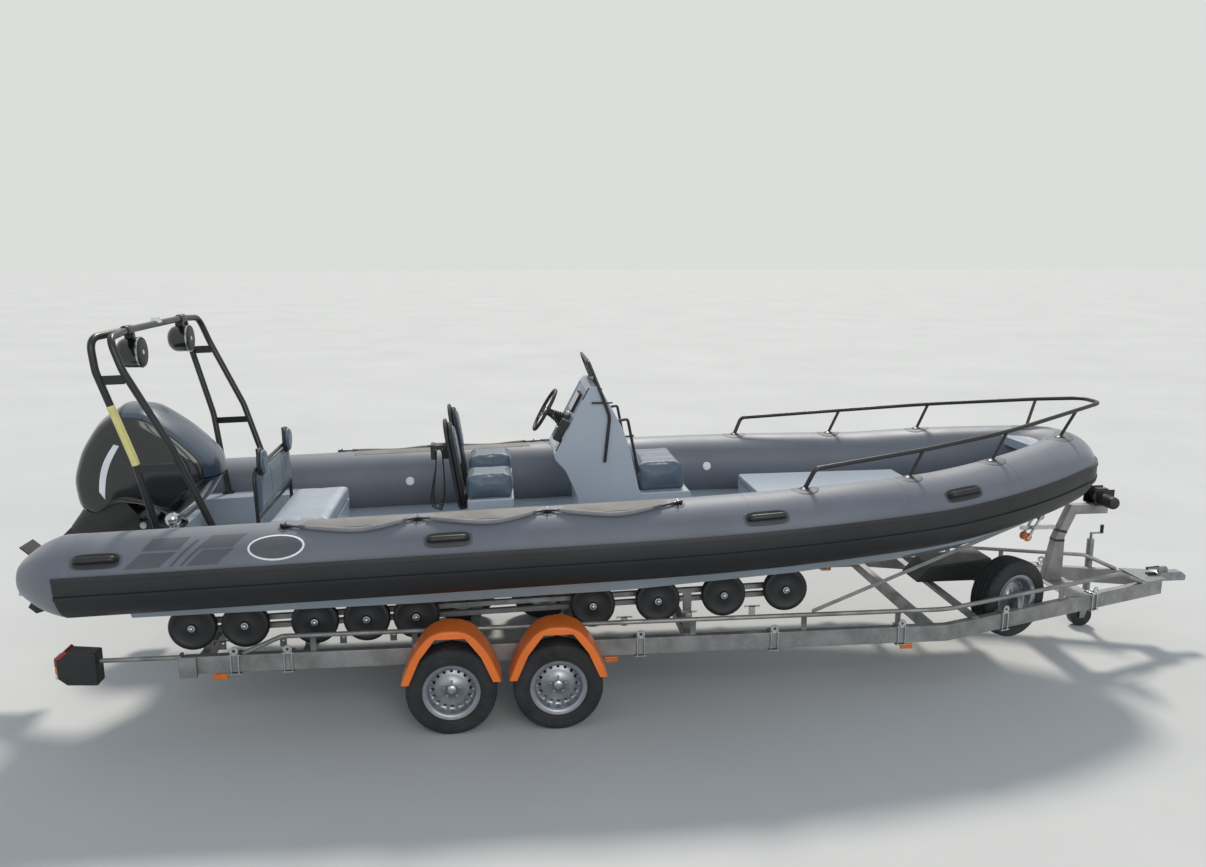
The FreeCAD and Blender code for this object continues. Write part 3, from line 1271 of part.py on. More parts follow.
# Outboard: clamp bracket, swivel bracket, cowl, leg and propeller
pivot = Vector(S.pivotX, 0, S.pivotZ)


def tilted(shape):
    """Sets a shape from the outboard's own frame into the boat frame, tilted as it rests."""
    return moved(shape, pivot, Rotation(Y_AXIS, S.tiltRest))


def slab(points, half):
    """A plate between two sides, from its outline in the X Z plane."""
    return Part.Face(polygon([(x, -half, z) for x, z in points])).extrude(Vector(0, 2 * half, 0))


clamp_side = slab([(-34, 34), (40, 36), (214, -60), (214, -88), (148, -92.7), (148, -420), (118, -420),
                   (20, -200), (-34, -34)], S.clampThick / 2)
clamps = []
for side in (1, -1):
    plate = clamp_side.translated(Vector(0, side * (S.clampInner + S.clampThick / 2), 0))
    clamps.append(plate)
yoke_bar = Part.makeBox(62, 2 * S.clampInner + 4, 26, Vector(150, -S.clampInner - 2, -92.7))
pin = Part.makeCylinder(S.pivotRadius, 2 * S.clampInner + 8, Vector(0, -S.clampInner - 4, 0), Y_AXIS)
clamp = clamps[0].multiFuse([clamps[1], yoke_bar, pin]).translated(pivot).cut(hull_shape).removeSplitter()
clamp = max(clamp.Solids, key=lambda part: part.Volume)
boat_node(solid("outboard_clamp", clamp), "clamp_bracket")

barrel = Part.makeCylinder(S.swivelRadius, S.yokeTop - S.yokeLow - 90, Vector(S.swivelX, 0, S.yokeLow + 45))
knuckle = Part.makeCylinder(44, 2 * S.clampInner - 12, Vector(0, 6 - S.clampInner, 0), Y_AXIS)
web = Part.makeBox(-S.swivelX, 150, 60, Vector(S.swivelX, -75, -35))
stem = Part.makeCylinder(26.5, 500, Vector(S.swivelX, 0, S.yokeLow - 20))
swivel = barrel.multiFuse([knuckle, web]).cut(stem)
swivel = swivel.cut(Part.makeCylinder(S.pivotRadius + 0.5, 400, Vector(0, -200, 0), Y_AXIS)).removeSplitter()
boat_node(solid("outboard_swivel", tilted(swivel)), "swivel_bracket")

COWL_SIDE = [(172, 205), (205, 400), (175, 640), (60, 745), (-240, 760), (-540, 720), (-690, 600), (-738, 400),
             (-700, 160), (-600, -60), (-430, -205), (-310, -190), (-235, 20), (-60, 135)]
COWL_SECTIONS = [
    # share of the half width, size
    (-1, 0.70),
    (-0.92, 0.84),
    (-0.60, 0.96),
    (0, 1),
    (0.60, 0.96),
    (0.92, 0.84),
    (1, 0.70),
]
COWL_FLATS = 28
middle = Vector(-260, 0, 330)
rings = []
for share, size in COWL_SECTIONS:
    across = Vector(0, share * S.cowlHalf, 0)
    spline = Part.BSplineCurve()
    spline.interpolate([middle + (Vector(x, 0, z) - middle) * size + across for x, z in COWL_SIDE],
                       PeriodicFlag=True)
    rings.append(polygon(spline.discretize(COWL_FLATS + 1)[:-1]))
cowl = Part.makeLoft(rings, True, True)
boat_node(solid("outboard_cowl", tilted(cowl)), "cowl")

LEG_SECTIONS = [
    # height, front X, rear X, half width
    (-745, -70, -420, 48),
    (-560, -185, -400, 58),
    (-200, -178, -380, 75),
    (120, -178, -380, 95),
]


def leaf(height, front, rear, half_wide):
    """A pointed-oval outline across the leg."""
    length = front - rear
    points = [(front, 0), (front - length * 0.18, half_wide * 0.8), (front - length * 0.5, half_wide),
              (rear, half_wide * 0.35), (rear, -half_wide * 0.35), (front - length * 0.5, -half_wide),
              (front - length * 0.18, -half_wide * 0.8)]
    return polygon([(x, y, height) for x, y in points])


leg = [Part.makeLoft([leaf(*row) for row in LEG_SECTIONS], True, True)]
leg.append(Part.makeLoft([leaf(S.shaftZ, -60, -284, 40), leaf(S.plateZ + 2, -70, -288, 44)], True, True))
leg.append(Part.makeCylinder(26, S.yokeTop - S.yokeLow, Vector(S.swivelX, 0, S.yokeLow)))
leg.append(Part.makeBox(230, 120, 40, Vector(-300, -60, S.yokeTop - 38)))
leg.append(Part.makeBox(230, 110, 40, Vector(-300, -55, S.yokeLow - 2)))
leg.append(slab([(-60, S.plateZ - 5), (-560, S.plateZ - 5), (-560, S.plateZ + 5), (-60, S.plateZ + 5)], 105))
leg.append(Part.makeCylinder(58, 230, Vector(-290, 0, S.shaftZ), X_AXIS))
leg.append(Part.makeCone(58, 14, 110, Vector(-60, 0, S.shaftZ), X_AXIS))
leg.append(slab([(-60, S.shaftZ - 30), (-270, S.shaftZ - 30), (-240, S.skegZ), (-165, S.skegZ)], 7))
leg = leg[0].multiFuse(leg[1:]).cut(cowl)
bores = [Part.makeCylinder(14.5, 80, Vector(-350, 0, S.shaftZ), X_AXIS)]
leg = leg.cut(bores[0]).removeSplitter()
leg = max(leg.Solids, key=lambda part: part.Volume)
boat_node(solid("outboard_leg", tilted(leg)), "midsection")

BLADE = [
    # share of the propeller's radius, place across the blade
    (0.17, -38),
    (0.55, -70),
    (0.89, -48),
    (1, 0),
    (0.89, 46),
    (0.55, 58),
    (0.17, 34),
]
blade = Part.Face(polygon([(0, share * S.propRadius, across) for share, across in BLADE]))
blade = blade.extrude(Vector(7, 0, 0))
blade.rotate(Vector(), Y_AXIS, 28)
propeller = [Part.makeCylinder(50, 110 - S.runGap, Vector(S.propX - 55, 0, S.shaftZ), X_AXIS),
             Part.makeCylinder(14, 32, Vector(S.propX + 40, 0, S.shaftZ), X_AXIS)]
for angle in (180, 300, 60):
    turned_blade = blade.copy()
    turned_blade.rotate(Vector(), X_AXIS, angle)
    propeller.append(turned_blade.translated(Vector(S.propX, 0, S.shaftZ)))
propeller = propeller[0].multiFuse(propeller[1:]).removeSplitter()
boat_node(solid("outboard_propeller", tilted(propeller)), "propeller")

# Flat strap that ties the bow eye to the trailer
strap_ends = [Vector(1144, -866, 690), Vector(3494, -8, 1172)]
along = (strap_ends[1] - strap_ends[0]).normalize()
edge_way = along.cross(Z_AXIS).normalize().cross(along).normalize()
flat = Part.makeBox((strap_ends[1] - strap_ends[0]).Length, 4, 30, Vector(0, -2, -15))
flat = moved(flat, strap_ends[0], Rotation(along, Vector(), edge_way, "XZY"))
hull_in_place = moved(hull_shape, (S.boatX, 0, S.boatZ), Rotation(Vector(0, -1, 0), S.trim))
flat = flat.cut([mirror_y(rail_left), hull_in_place])
node(solid("flat_strap", max(flat.Solids, key=lambda part: part.Volume)), "tie_strap")

doc.recompute()
for piece in doc.Objects:
    if "Invalid" in piece.State or "Error" in piece.State:
        raise RuntimeError(f"{piece.Name} failed: {piece.State}")
faulty = [piece.Label for piece in NODES if piece.Shape.isNull() or not piece.Shape.isValid()]
if faulty:
    raise RuntimeError(f"not valid shapes: {faulty}")
for piece in NODES:
    shape = piece.Shape
    shape.exportStep(f"parts/{piece.Label}.step")
    box = shape.BoundBox
    print(f"{piece.Label:18s} solids {len(shape.Solids):3d}  volume {shape.Volume / 1e9:9.5f} m3"
          f"  X {box.XMin:7.0f} {box.XMax:7.0f}  Y {box.YMin:7.0f} {box.YMax:7.0f}"
          f"  Z {box.ZMin:6.0f} {box.ZMax:6.0f}")
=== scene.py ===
import math

import bmesh
import bpy
from mathutils import Matrix, Vector
from mathutils.bvhtree import BVHTree


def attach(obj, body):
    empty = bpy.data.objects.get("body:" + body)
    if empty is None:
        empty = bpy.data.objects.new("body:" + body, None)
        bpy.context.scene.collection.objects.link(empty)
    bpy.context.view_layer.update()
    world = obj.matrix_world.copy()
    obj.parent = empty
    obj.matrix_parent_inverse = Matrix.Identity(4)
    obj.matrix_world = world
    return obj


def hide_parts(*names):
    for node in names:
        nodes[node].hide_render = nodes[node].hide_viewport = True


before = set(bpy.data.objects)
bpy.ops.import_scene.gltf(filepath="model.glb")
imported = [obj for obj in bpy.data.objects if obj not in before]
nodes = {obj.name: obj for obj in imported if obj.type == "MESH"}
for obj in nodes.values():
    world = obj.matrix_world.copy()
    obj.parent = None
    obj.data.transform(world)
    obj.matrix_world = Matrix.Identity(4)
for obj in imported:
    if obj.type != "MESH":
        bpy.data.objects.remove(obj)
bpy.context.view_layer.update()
scene = bpy.context.scene

# The frame is the trailer's: metres, X forward to the coupling, Y to port, Z up from the ground.
# The boat sits in it bow up by its trim; the outboard is tilted about its pin on the transom.
ROOT = "trailer_and_boat"
moved = Matrix.Translation


def turned(degrees, axis):
    return Matrix.Rotation(math.radians(degrees), 4, axis)


TRAILER = Matrix.Identity(4)
BOAT = moved((-3.910, 0, 1.242)) @ turned(-1.84, "Y")
TILT_PIN = BOAT @ moved((0.142, 0, 0.053))
ENGINE = TILT_PIN @ turned(45, "Y")
WHEEL_RADIUS = 0.315
TRACK_HALF = 1.060
AXLES = (("rear", -1.490), ("front", -0.750))


# Camera

camera = bpy.data.objects.new("camera", bpy.data.cameras.new("camera"))
camera.data.sensor_width = 36
camera.data.lens = 29.22
camera.location = (-1.13, -7.52, 3.32)
camera.rotation_euler = (math.radians(90 - 10.68), 0, math.radians(-6.18))
scene.collection.objects.link(camera)
scene.camera = camera
scene.view_settings.view_transform = "Standard"


# Finishes

def linear(code):
    """An sRGB hex colour as the linear values that a socket takes."""
    parts = [int(code[i:i + 2], 16) / 255 for i in (1, 3, 5)]
    return [c / 12.92 if c <= 0.04045 else ((c + 0.055) / 1.055) ** 2.4 for c in parts] + [1]


def add(tree, kind, sockets, **settings):
    """Adds a node, sets its properties, and sets or links its sockets."""
    node = tree.nodes.new(kind)
    for name, value in settings.items():
        setattr(node, name, value)
    for socket, value in sockets.items():
        if isinstance(value, bpy.types.NodeSocket):
            tree.links.new(value, node.inputs[socket])
        else:
            node.inputs[socket].default_value = value
    return node


def finish(name, tint, shade, drift, rough, rough_spread=0.1, grain=None, depth=0.0, cells=False, **shader):
    """A finish whose colour drifts between two tints over `drift` metres, with a grain of `grain` metres."""
    material = bpy.data.materials.new(name)
    material.use_nodes = True
    tree = material.node_tree
    skin = tree.nodes["Principled BSDF"]
    place = add(tree, "ShaderNodeTexCoord", {}).outputs["Object"]
    cloud = add(tree, "ShaderNodeTexNoise",
                {"Vector": place, "Scale": 1 / drift, "Detail": 5.0, "Roughness": 0.6})
    share = add(tree, "ShaderNodeMapRange",
                {"Value": cloud.outputs["Fac"], "From Min": 0.32, "From Max": 0.68})
    mixed = add(tree, "ShaderNodeMix", {0: share.outputs["Result"], 6: linear(tint), 7: linear(shade)},
                data_type="RGBA")
    tree.links.new(mixed.outputs[2], skin.inputs["Base Color"])
    gloss = add(tree, "ShaderNodeMapRange",
                {"Value": cloud.outputs["Fac"], "From Min": 0.3, "From Max": 0.7,
                 "To Min": rough - rough_spread / 2, "To Max": rough + rough_spread / 2})
    tree.links.new(gloss.outputs["Result"], skin.inputs["Roughness"])
    if grain:
        if cells:
            pattern = add(tree, "ShaderNodeTexVoronoi", {"Vector": place, "Scale": 1 / grain})
            height = pattern.outputs["Distance"]
        else:
            pattern = add(tree, "ShaderNodeTexNoise", {"Vector": place, "Scale": 1 / grain, "Detail": 3.0})
            height = pattern.outputs["Fac"]
        relief = add(tree, "ShaderNodeBump", {"Height": height, "Distance": depth, "Strength": 1.0})
        tree.links.new(relief.outputs["Normal"], skin.inputs["Normal"])
    for socket, value in shader.items():
        skin.inputs[socket.replace("_", " ")].default_value = value
    return material


# Chloroprene-coated polyamide cloth, calendered: a satin grey skin with a soft bloom, its weave just
# felt through. The real weave is under 1 mm; it is drawn at 5 mm so that it shows.
neoprene_cloth = finish("neoprene_coated_cloth", "#63676f", "#585c65", 0.9, 0.52, 0.12, 0.005, 0.0004,
                        Sheen_Weight=0.25, Sheen_Roughness=0.5)
# The same cloth in a darker shade, cut as glued patches.
patch_cloth = finish("neoprene_patch_cloth", "#4a4d54", "#42444b", 0.5, 0.55, 0.1, 0.005, 0.0004,
                     Sheen_Weight=0.2)
# Woven non-slip pads on the tube's crown: dry, warm grey, with a coarse rib.
wear_cloth = finish("ribbed_wear_cloth", "#7f7b75", "#716d68", 0.25, 0.75, 0.1, 0.008, 0.0008)
# EPDM rubber, extruded: near black, low gloss, with a little dust.
strake_rubber = finish("extruded_epdm_rubber", "#1a1c1f", "#131517", 0.7, 0.5, 0.16, 0.012, 0.0003)
# Injection-moulded EPDM for handles and ring pads.
moulded_rubber = finish("moulded_rubber", "#1d1e21", "#141517", 0.08, 0.42, 0.12, 0.003, 0.0002)
# Polyester gelcoat sprayed in a mould: a pale grey gloss with a faint waviness.
gelcoat = finish("polyester_gelcoat", "#a4adb5", "#98a1aa", 1.1, 0.3, 0.1, 0.04, 0.0003, Coat_Weight=0.3,
                 Coat_Roughness=0.12)
# The same gelcoat on the hull's outside, its colour darkened as painted shade, with a duller gloss and a
# thinner coat.
shaded_hull_gelcoat = finish("gelcoat_painted_shade", "#8f999f", "#838d94", 0.8, 0.42, 0.12, 0.04, 0.0003,
                      Coat_Weight=0.15, Coat_Roughness=0.25)
# Hot-dip zinc on welded steel: dull grey, clouded where the melt ran off.
hot_dip_zinc = finish("hot_dip_zinc", "#989896", "#777776", 0.16, 0.5, 0.2, 0.02, 0.0003, cells=True,
                      Metallic=0.55)
# Bright zinc plate on bolts, rings and brackets.
bright_zinc = finish("bright_zinc_plate", "#c9cbcc", "#a6a8aa", 0.03, 0.32, 0.1, Metallic=0.9)
# Zinc plate dulled by weather, on the coupling and the jockey leg.
dull_zinc = finish("weathered_zinc_plate", "#949698", "#77797c", 0.05, 0.42, 0.12, Metallic=0.6)
# Polished stainless steel.
stainless = finish("polished_stainless_steel", "#c8c9ca", "#b4b5b7", 0.06, 0.22, 0.08, Metallic=1.0)
# Orange polypropylene, vacuum-formed: satin, a little chalky with age.
orange_plastic = finish("vacuum_formed_polypropylene", "#e8762b", "#d9691f", 0.3, 0.42, 0.12, 0.004, 0.0002)
# Carbon-black tyre rubber, vulcanised: matt, with road dust in its lows.
tyre_rubber = finish("vulcanised_tyre_rubber", "#2b2b2c", "#1d1d1e", 0.12, 0.82, 0.12, 0.004, 0.0004)
# Silver stove enamel on pressed steel wheels.
wheel_enamel = finish("silver_stove_enamel", "#a5a8ad", "#8b8f95", 0.09, 0.36, 0.12, Metallic=0.75)
# Marine upholstery vinyl, embossed: slate blue with a fine leather grain; 1 mm grain drawn at 4 mm.
slate_vinyl = finish("embossed_marine_vinyl", "#4e5e6c", "#445361", 0.22, 0.5, 0.1, 0.004, 0.0004,
                     cells=True, Sheen_Weight=0.1)
pale_vinyl = finish("pale_marine_vinyl", "#98a1a9", "#8b949d", 0.25, 0.5, 0.1, 0.004, 0.0004, cells=True)
# Powder coat on bent tube: black satin with slight orange peel.
powder_coat = finish("black_powder_coat", "#1b1c1e", "#141517", 0.3, 0.38, 0.12, 0.003, 0.0001)
# ABS mouldings with a spark-eroded texture.
black_abs = finish("textured_black_abs", "#1e1f21", "#161719", 0.1, 0.55, 0.12, 0.003, 0.0002)
# Acrylic lacquer on the outboard's side panels: deep black gloss.
black_lacquer = finish("black_acrylic_lacquer", "#0e0f11", "#141619", 0.5, 0.14, 0.06, Coat_Weight=0.6,
                       Coat_Roughness=0.06)
# Satin slate paint on the outboard's top shell.
slate_paint = finish("satin_slate_paint", "#3d4a58", "#333f4c", 0.4, 0.3, 0.08, Coat_Weight=0.4,
                     Coat_Roughness=0.15)
# Aluminium castings, painted black.
painted_casting = finish("painted_aluminium_casting", "#1a1b1d", "#121315", 0.15, 0.36, 0.12, 0.006, 0.0002)
# Smoked acrylic sheet.
smoked_acrylic = finish("smoked_acrylic_sheet", "#17191c", "#1b1e21", 0.3, 0.08, 0.04,
                        Transmission_Weight=0.5, IOR=1.49, Coat_Weight=0.5)
# Glossy polystyrene and gelcoat white fittings.
white_plastic = finish("gloss_white_plastic", "#e2e3e3", "#d6d8d9", 0.1, 0.3, 0.08)
# Acrylic lamp lenses, moulded with fine ribs.
red_lens = finish("red_lamp_acrylic", "#8e1616", "#7a1010", 0.05, 0.15, 0.05, 0.008, 0.0004, cells=True,
                  Coat_Weight=0.5)
amber_lens = finish("amber_lamp_acrylic", "#d8701a", "#c8621a", 0.05, 0.15, 0.05, 0.008, 0.0004, cells=True,
                    Coat_Weight=0.5)
clear_lens = finish("clear_lamp_acrylic", "#c4c6c8", "#b2b4b6", 0.05, 0.12, 0.05, 0.008, 0.0004, cells=True,
                    Coat_Weight=0.5)
# Braided polyester rope: black with a soft nap; the plait is drawn at 6 mm.
braided_rope = finish("braided_polyester_rope", "#1c1c1e", "#101012", 0.02, 0.78, 0.1, 0.006, 0.0012,
                      cells=True, Sheen_Weight=0.2)
# Padded cloth sleeves on the grab line, sun-faded.
sleeve_cloth = finish("faded_sleeve_cloth", "#7a7a7d", "#6b6b6f", 0.12, 0.72, 0.1, 0.005, 0.0006,
                      Sheen_Weight=0.25)
# Woven polyester webbing.
webbing = finish("woven_polyester_webbing", "#8f8f8d", "#7b7b7a", 0.1, 0.8, 0.1, 0.006, 0.0006)
# Amber polyurethane bow rollers.
polyurethane = finish("cast_amber_polyurethane", "#e07c22", "#cf6a18", 0.06, 0.35, 0.1)
# Soft foam grip of the helm's rim.
foam_grip = finish("polyurethane_foam_grip", "#26272a", "#1c1d1f", 0.05, 0.62, 0.1, 0.003, 0.0002)
# Laminate of the dash panel, satin blue-grey.
dash_laminate = finish("satin_dash_laminate", "#8d99a4", "#808c98", 0.3, 0.35, 0.1, 0.003, 0.0001)
# Pale yellow cloth tape wound on a tube.
cloth_tape = finish("yellow_cloth_tape", "#d6cf8a", "#c5bd76", 0.06, 0.7, 0.1, 0.003, 0.0003)

# The CAD nodes that show as they are.
FINISHES = {"axles": hot_dip_zinc, "rubbing_band": strake_rubber, "hull": gelcoat,
            "line_staples": moulded_rubber, "nav_light": white_plastic, "tie_strap": webbing,
            "jockey_wheel": moulded_rubber}
for name, material in FINISHES.items():
    nodes[name].data.materials.clear()
    nodes[name].data.materials.append(material)

# Below the deck, the hull's faces are its outside; they take the darker gelcoat, which is painted shade.
hull_skin = nodes["hull"].data
hull_skin.materials.append(shaded_hull_gelcoat)
DECK = -0.205
for face in hull_skin.polygons:
    face.material_index = 1 if (BOAT.inverted() @ face.center).z < DECK else 0


# Making pieces

SEAM = 0.00002
MOST_ROUND = math.radians(35)


def carry(bm, matrix):
    """Moves a whole form."""
    bmesh.ops.transform(bm, matrix=matrix, verts=bm.verts)


def verts_in(geom):
    """The points among what an operator returns."""
    return [item for item in geom if isinstance(item, bmesh.types.BMVert)]


def soften(bm, edges, width, steps):
    """Rounds edges over a width."""
    bmesh.ops.bevel(bm, geom=edges, offset=width, segments=steps, profile=0.5, affect="EDGES", material=-1)


def placed(name, bm):
    """An object made from a form, which is freed."""
    made = bpy.data.objects.new(name, bpy.data.meshes.new(name))
    bm.to_mesh(made.data)
    bm.free()
    scene.collection.objects.link(made)
    return made


def eased(made, levels):
    """Smooths an object by subdivision."""
    even = made.modifiers.new("even", "SUBSURF")
    even.levels = even.render_levels = levels


def piece(name, bm, material, body=ROOT, place=TRAILER, sharp=35, rounding=0, smooth=0, replaces=()):
    """Sets a form into the trailer's frame, to move with a body; edges over `sharp` degrees stay crisp."""
    bmesh.ops.remove_doubles(bm, verts=bm.verts, dist=SEAM)
    carry(bm, place)
    bmesh.ops.recalc_face_normals(bm, faces=bm.faces)
    made = placed(name, bm)
    made.data.shade_smooth()
    made.data.set_sharp_from_angle(angle=math.radians(sharp))
    made.data.materials.append(material)
    if rounding:
        edge = made.modifiers.new("rounding", "BEVEL")
        edge.width = rounding
        edge.segments = 2
        edge.angle_limit = MOST_ROUND
        edge.harden_normals = True
    if smooth:
        eased(made, smooth)
    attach(made, body)
    if replaces:
        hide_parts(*replaces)
    return made


def block(bm, low, high):
    """A box between two corners."""
    low, high = Vector(low), Vector(high)
    size = high - low
    shape = moved((low + high) / 2) @ Matrix.Diagonal((*size, 1))
    return bmesh.ops.create_cube(bm, size=1, matrix=shape)["verts"]


def pin(bm, start, end, radius, tip=None, sides=24):
    """A round bar, or a taper where a tip radius is given, from one point to another."""
    start, end = Vector(start), Vector(end)
    turn = (end - start).to_track_quat("Z", "Y").to_matrix().to_4x4()
    shape = moved((start + end) / 2) @ turn
    return bmesh.ops.create_cone(bm, cap_ends=True, segments=sides, radius1=radius,
                                 radius2=radius if tip is None else tip, depth=(end - start).length,
                                 matrix=shape)["verts"]


def ball(bm, centre, radii, around=24, rings=14):
    """An ellipsoid."""
    shape = moved(centre) @ Matrix.Diagonal((*radii, 1))
    return bmesh.ops.create_uvsphere(bm, u_segments=around, v_segments=rings, radius=1, matrix=shape)["verts"]


def lathe(bm, profile, centre=(0, 0, 0), axis=(0, 1, 0), steps=48):
    """Turns a profile of (place along the axis, radius) pairs about an axis."""
    axis = Vector(axis)
    arm = axis.orthogonal().normalized()
    ring = [bm.verts.new(Vector(centre) + axis * along + arm * radius) for along, radius in profile]
    line = [bm.edges.new(pair) for pair in zip(ring, ring[1:])]
    return bmesh.ops.spin(bm, geom=ring + line, cent=centre, axis=axis, angle=math.tau, steps=steps,
                          use_merge=True)


def grow(bm, rim, matrix):
    """Extrudes an open rim, carries its new end, and returns that end."""
    fresh = bmesh.ops.extrude_edge_only(bm, edges=rim)["geom"]
    points = verts_in(fresh)
    bmesh.ops.transform(bm, matrix=matrix, verts=points)
    ends = set(points)
    return [edge for edge in fresh if isinstance(edge, bmesh.types.BMEdge) and ends.issuperset(edge.verts)]


def rounded_path(points, bends, steps=6):
    """The points with each inner corner eased to a bend radius."""
    points = [Vector(point) for point in points]
    bends = bends if isinstance(bends, (list, tuple)) else [bends] * (len(points) - 2)
    path = [points[0]]
    for before, corner, after, bend in zip(points, points[1:], points[2:], bends):
        back, on = before - corner, after - corner
        reach = bend * math.tan((math.pi - back.angle(on)) / 2)
        reach = min(reach, 0.45 * back.length, 0.45 * on.length)
        start, end = corner + back.normalized() * reach, corner + on.normalized() * reach
        for step in range(steps + 1):
            share = step / steps
            path.append(start.lerp(corner, share).lerp(corner.lerp(end, share), share))
    return path + [points[-1]]


def mirrored(bm):
    """Adds the same form on the other side of the centre line."""
    twin = bmesh.ops.duplicate(bm, geom=bm.verts[:] + bm.edges[:] + bm.faces[:])["geom"]
    bmesh.ops.scale(bm, vec=(1, -1, 1), verts=verts_in(twin))


def merged(node_name):
    """The CAD solid's mesh with its seams closed."""
    bm = bmesh.new()
    bm.from_mesh(nodes[node_name].data)
    bmesh.ops.remove_doubles(bm, verts=bm.verts, dist=SEAM)
    return bm


def closed_form(node_name):
    """The CAD solid with its flats whole, so that it takes a rounding."""
    bm = merged(node_name)
    bmesh.ops.dissolve_limit(bm, angle_limit=math.radians(0.5), verts=bm.verts, edges=bm.edges)
    return bm


def sweep(bm, path, radii, sides=14):
    """A round bar along a path of points; radii is one radius, or one for each point."""
    path = [Vector(point) for point in path]
    radii = radii if isinstance(radii, (list, tuple)) else [radii] * len(path)
    last = len(path) - 1
    ways = [(path[min(i + 1, last)] - path[max(i - 1, 0)]).normalized() for i in range(len(path))]
    stand = moved(path[0]) @ ways[0].to_track_quat("Z", "Y").to_matrix().to_4x4()
    first = bmesh.ops.create_circle(bm, segments=sides, radius=radii[0], matrix=stand)["verts"]
    rim = first_rim = list({edge for vert in first for edge in vert.link_edges})
    for i in range(last):
        turn = ways[i].rotation_difference(ways[i + 1]).to_matrix().to_4x4()
        size = Matrix.Scale(radii[i + 1] / radii[i], 4)
        rim = grow(bm, rim, moved(path[i + 1]) @ turn @ size @ moved(-path[i]))
    for edges in (first_rim, rim):
        bmesh.ops.holes_fill(bm, edges=edges, sides=0)


def join(whole, part):
    """Adds one form to another and frees it."""
    mesh = bpy.data.meshes.new("part")
    part.to_mesh(mesh)
    part.free()
    whole.from_mesh(mesh)
    bpy.data.meshes.remove(mesh)


def round_plate(bm, centre, half, thick, rim=0.003, steps=40, power=2.0):
    """A thin oval plate facing Z, with rings enough to bend it; a higher power squares it."""
    plate = bmesh.new()
    profile = [(thick, 0.0001)] + [(thick, share) for share in (0.3, 0.6, 0.85)]
    profile += [(thick, 1 - rim / max(half)), (thick * 0.3, 1.0), (-0.001, 1.0)]
    lathe(plate, profile, axis=(0, 0, 1), steps=steps)
    for vert in plate.verts:
        radius = max(math.hypot(vert.co.x, vert.co.y), 1e-6)
        share = (abs(vert.co.x / radius) ** power + abs(vert.co.y / radius) ** power) ** (-1 / power)
        vert.co = (vert.co.x * share, vert.co.y * share, vert.co.z)
    carry(plate, moved(centre) @ Matrix.Diagonal((*half, 1, 1)))
    join(bm, plate)


# The collar's own line, in the boat frame

TUBE = 0.267
HALF = 1.127
STRAIGHT = 3.649


def collar_runs():
    """The port tube's centre line: each arc's start, heading, centre, axis and angle."""
    up = Vector((0, 0, 1))
    place, heading, runs = Vector((STRAIGHT, HALF, 0)), Vector((1, 0, 0)), []

    def arc(axis, radius, angle):
        nonlocal place, heading
        centre = place + axis.cross(heading) * radius
        runs.append((place.copy(), heading.copy(), centre, axis, angle))
        turn = Matrix.Rotation(angle, 3, axis)
        place = centre + turn @ (place - centre)
        heading = turn @ heading

    arc(-up, 9.0, math.asin((5.8 - STRAIGHT) / 9.0))
    arc(heading.cross(up).normalized(), 4.5, math.radians(4))
    tip = heading.cross(Vector((0, 1, 0))).normalized()
    tip = tip if tip.z < 0 else -tip
    yaw, cheek = math.asin(-heading.y), math.radians(35)
    reach = (place.y - 0.34 * math.cos(cheek)) / (math.cos(yaw) - math.cos(cheek))
    arc(tip, reach, cheek - yaw)
    arc(tip, 0.34, math.radians(55))
    return runs


RUNS = collar_runs()


def collar_at(x):
    """Centre and heading of the port tube at a place along X."""
    if x <= STRAIGHT:
        return Vector((x, HALF, 0)), Vector((1, 0, 0))
    for place, heading, centre, axis, angle in RUNS:
        low, high = 0.0, angle
        if x > (centre + Matrix.Rotation(angle, 3, axis) @ (place - centre)).x + 1e-6:
            continue
        for _ in range(30):
            middle = (low + high) / 2
            at = centre + Matrix.Rotation(middle, 3, axis) @ (place - centre)
            low, high = (middle, high) if at.x < x else (low, middle)
        turn = Matrix.Rotation(low, 3, axis)
        return centre + turn @ (place - centre), turn @ heading
    return Vector((x, 0, 0)), Vector((0, -1, 0))


def on_collar(x, degrees, proud=0.0, side=1):
    """A point on the collar: an angle above its outer side, proud of its skin, to port or starboard."""
    centre, heading = collar_at(x)
    out = Vector((0, 0, 1)).cross(heading).normalized()
    lift = heading.cross(out).normalized()
    angle = math.radians(degrees)
    at = centre + out * ((TUBE + proud) * math.cos(angle)) + lift * ((TUBE + proud) * math.sin(angle))
    return Vector((at.x, at.y * side, at.z))


def lay_on_collar(bm, x, degrees, side=1):
    """Wraps a flat form onto the tube: X along it from x, Y up its girth from an angle, Z off its skin."""
    for vert in bm.verts:
        flat = vert.co.copy()
        vert.co = on_collar(x + flat.x, degrees + math.degrees(flat.y / TUBE), flat.z, side)


def patch(x, long, low, high, lean=0.0, thick=0.0015, steps=(16, 10), side=1):
    """A glued sheet: from x, between two angles up the tube, its ends leaning forward as they rise."""
    bm = bmesh.new()
    bmesh.ops.create_grid(bm, x_segments=steps[0], y_segments=steps[1], size=0.5)
    tall = math.radians(high - low) * TUBE
    for vert in bm.verts:
        up = (vert.co.y + 0.5) * tall
        vert.co = ((vert.co.x + 0.5) * long + lean * up, up, thick)
    bmesh.ops.solidify(bm, geom=bm.faces[:], thickness=thick * 1.5)
    lay_on_collar(bm, x, low, side)
    return bm


# Cords

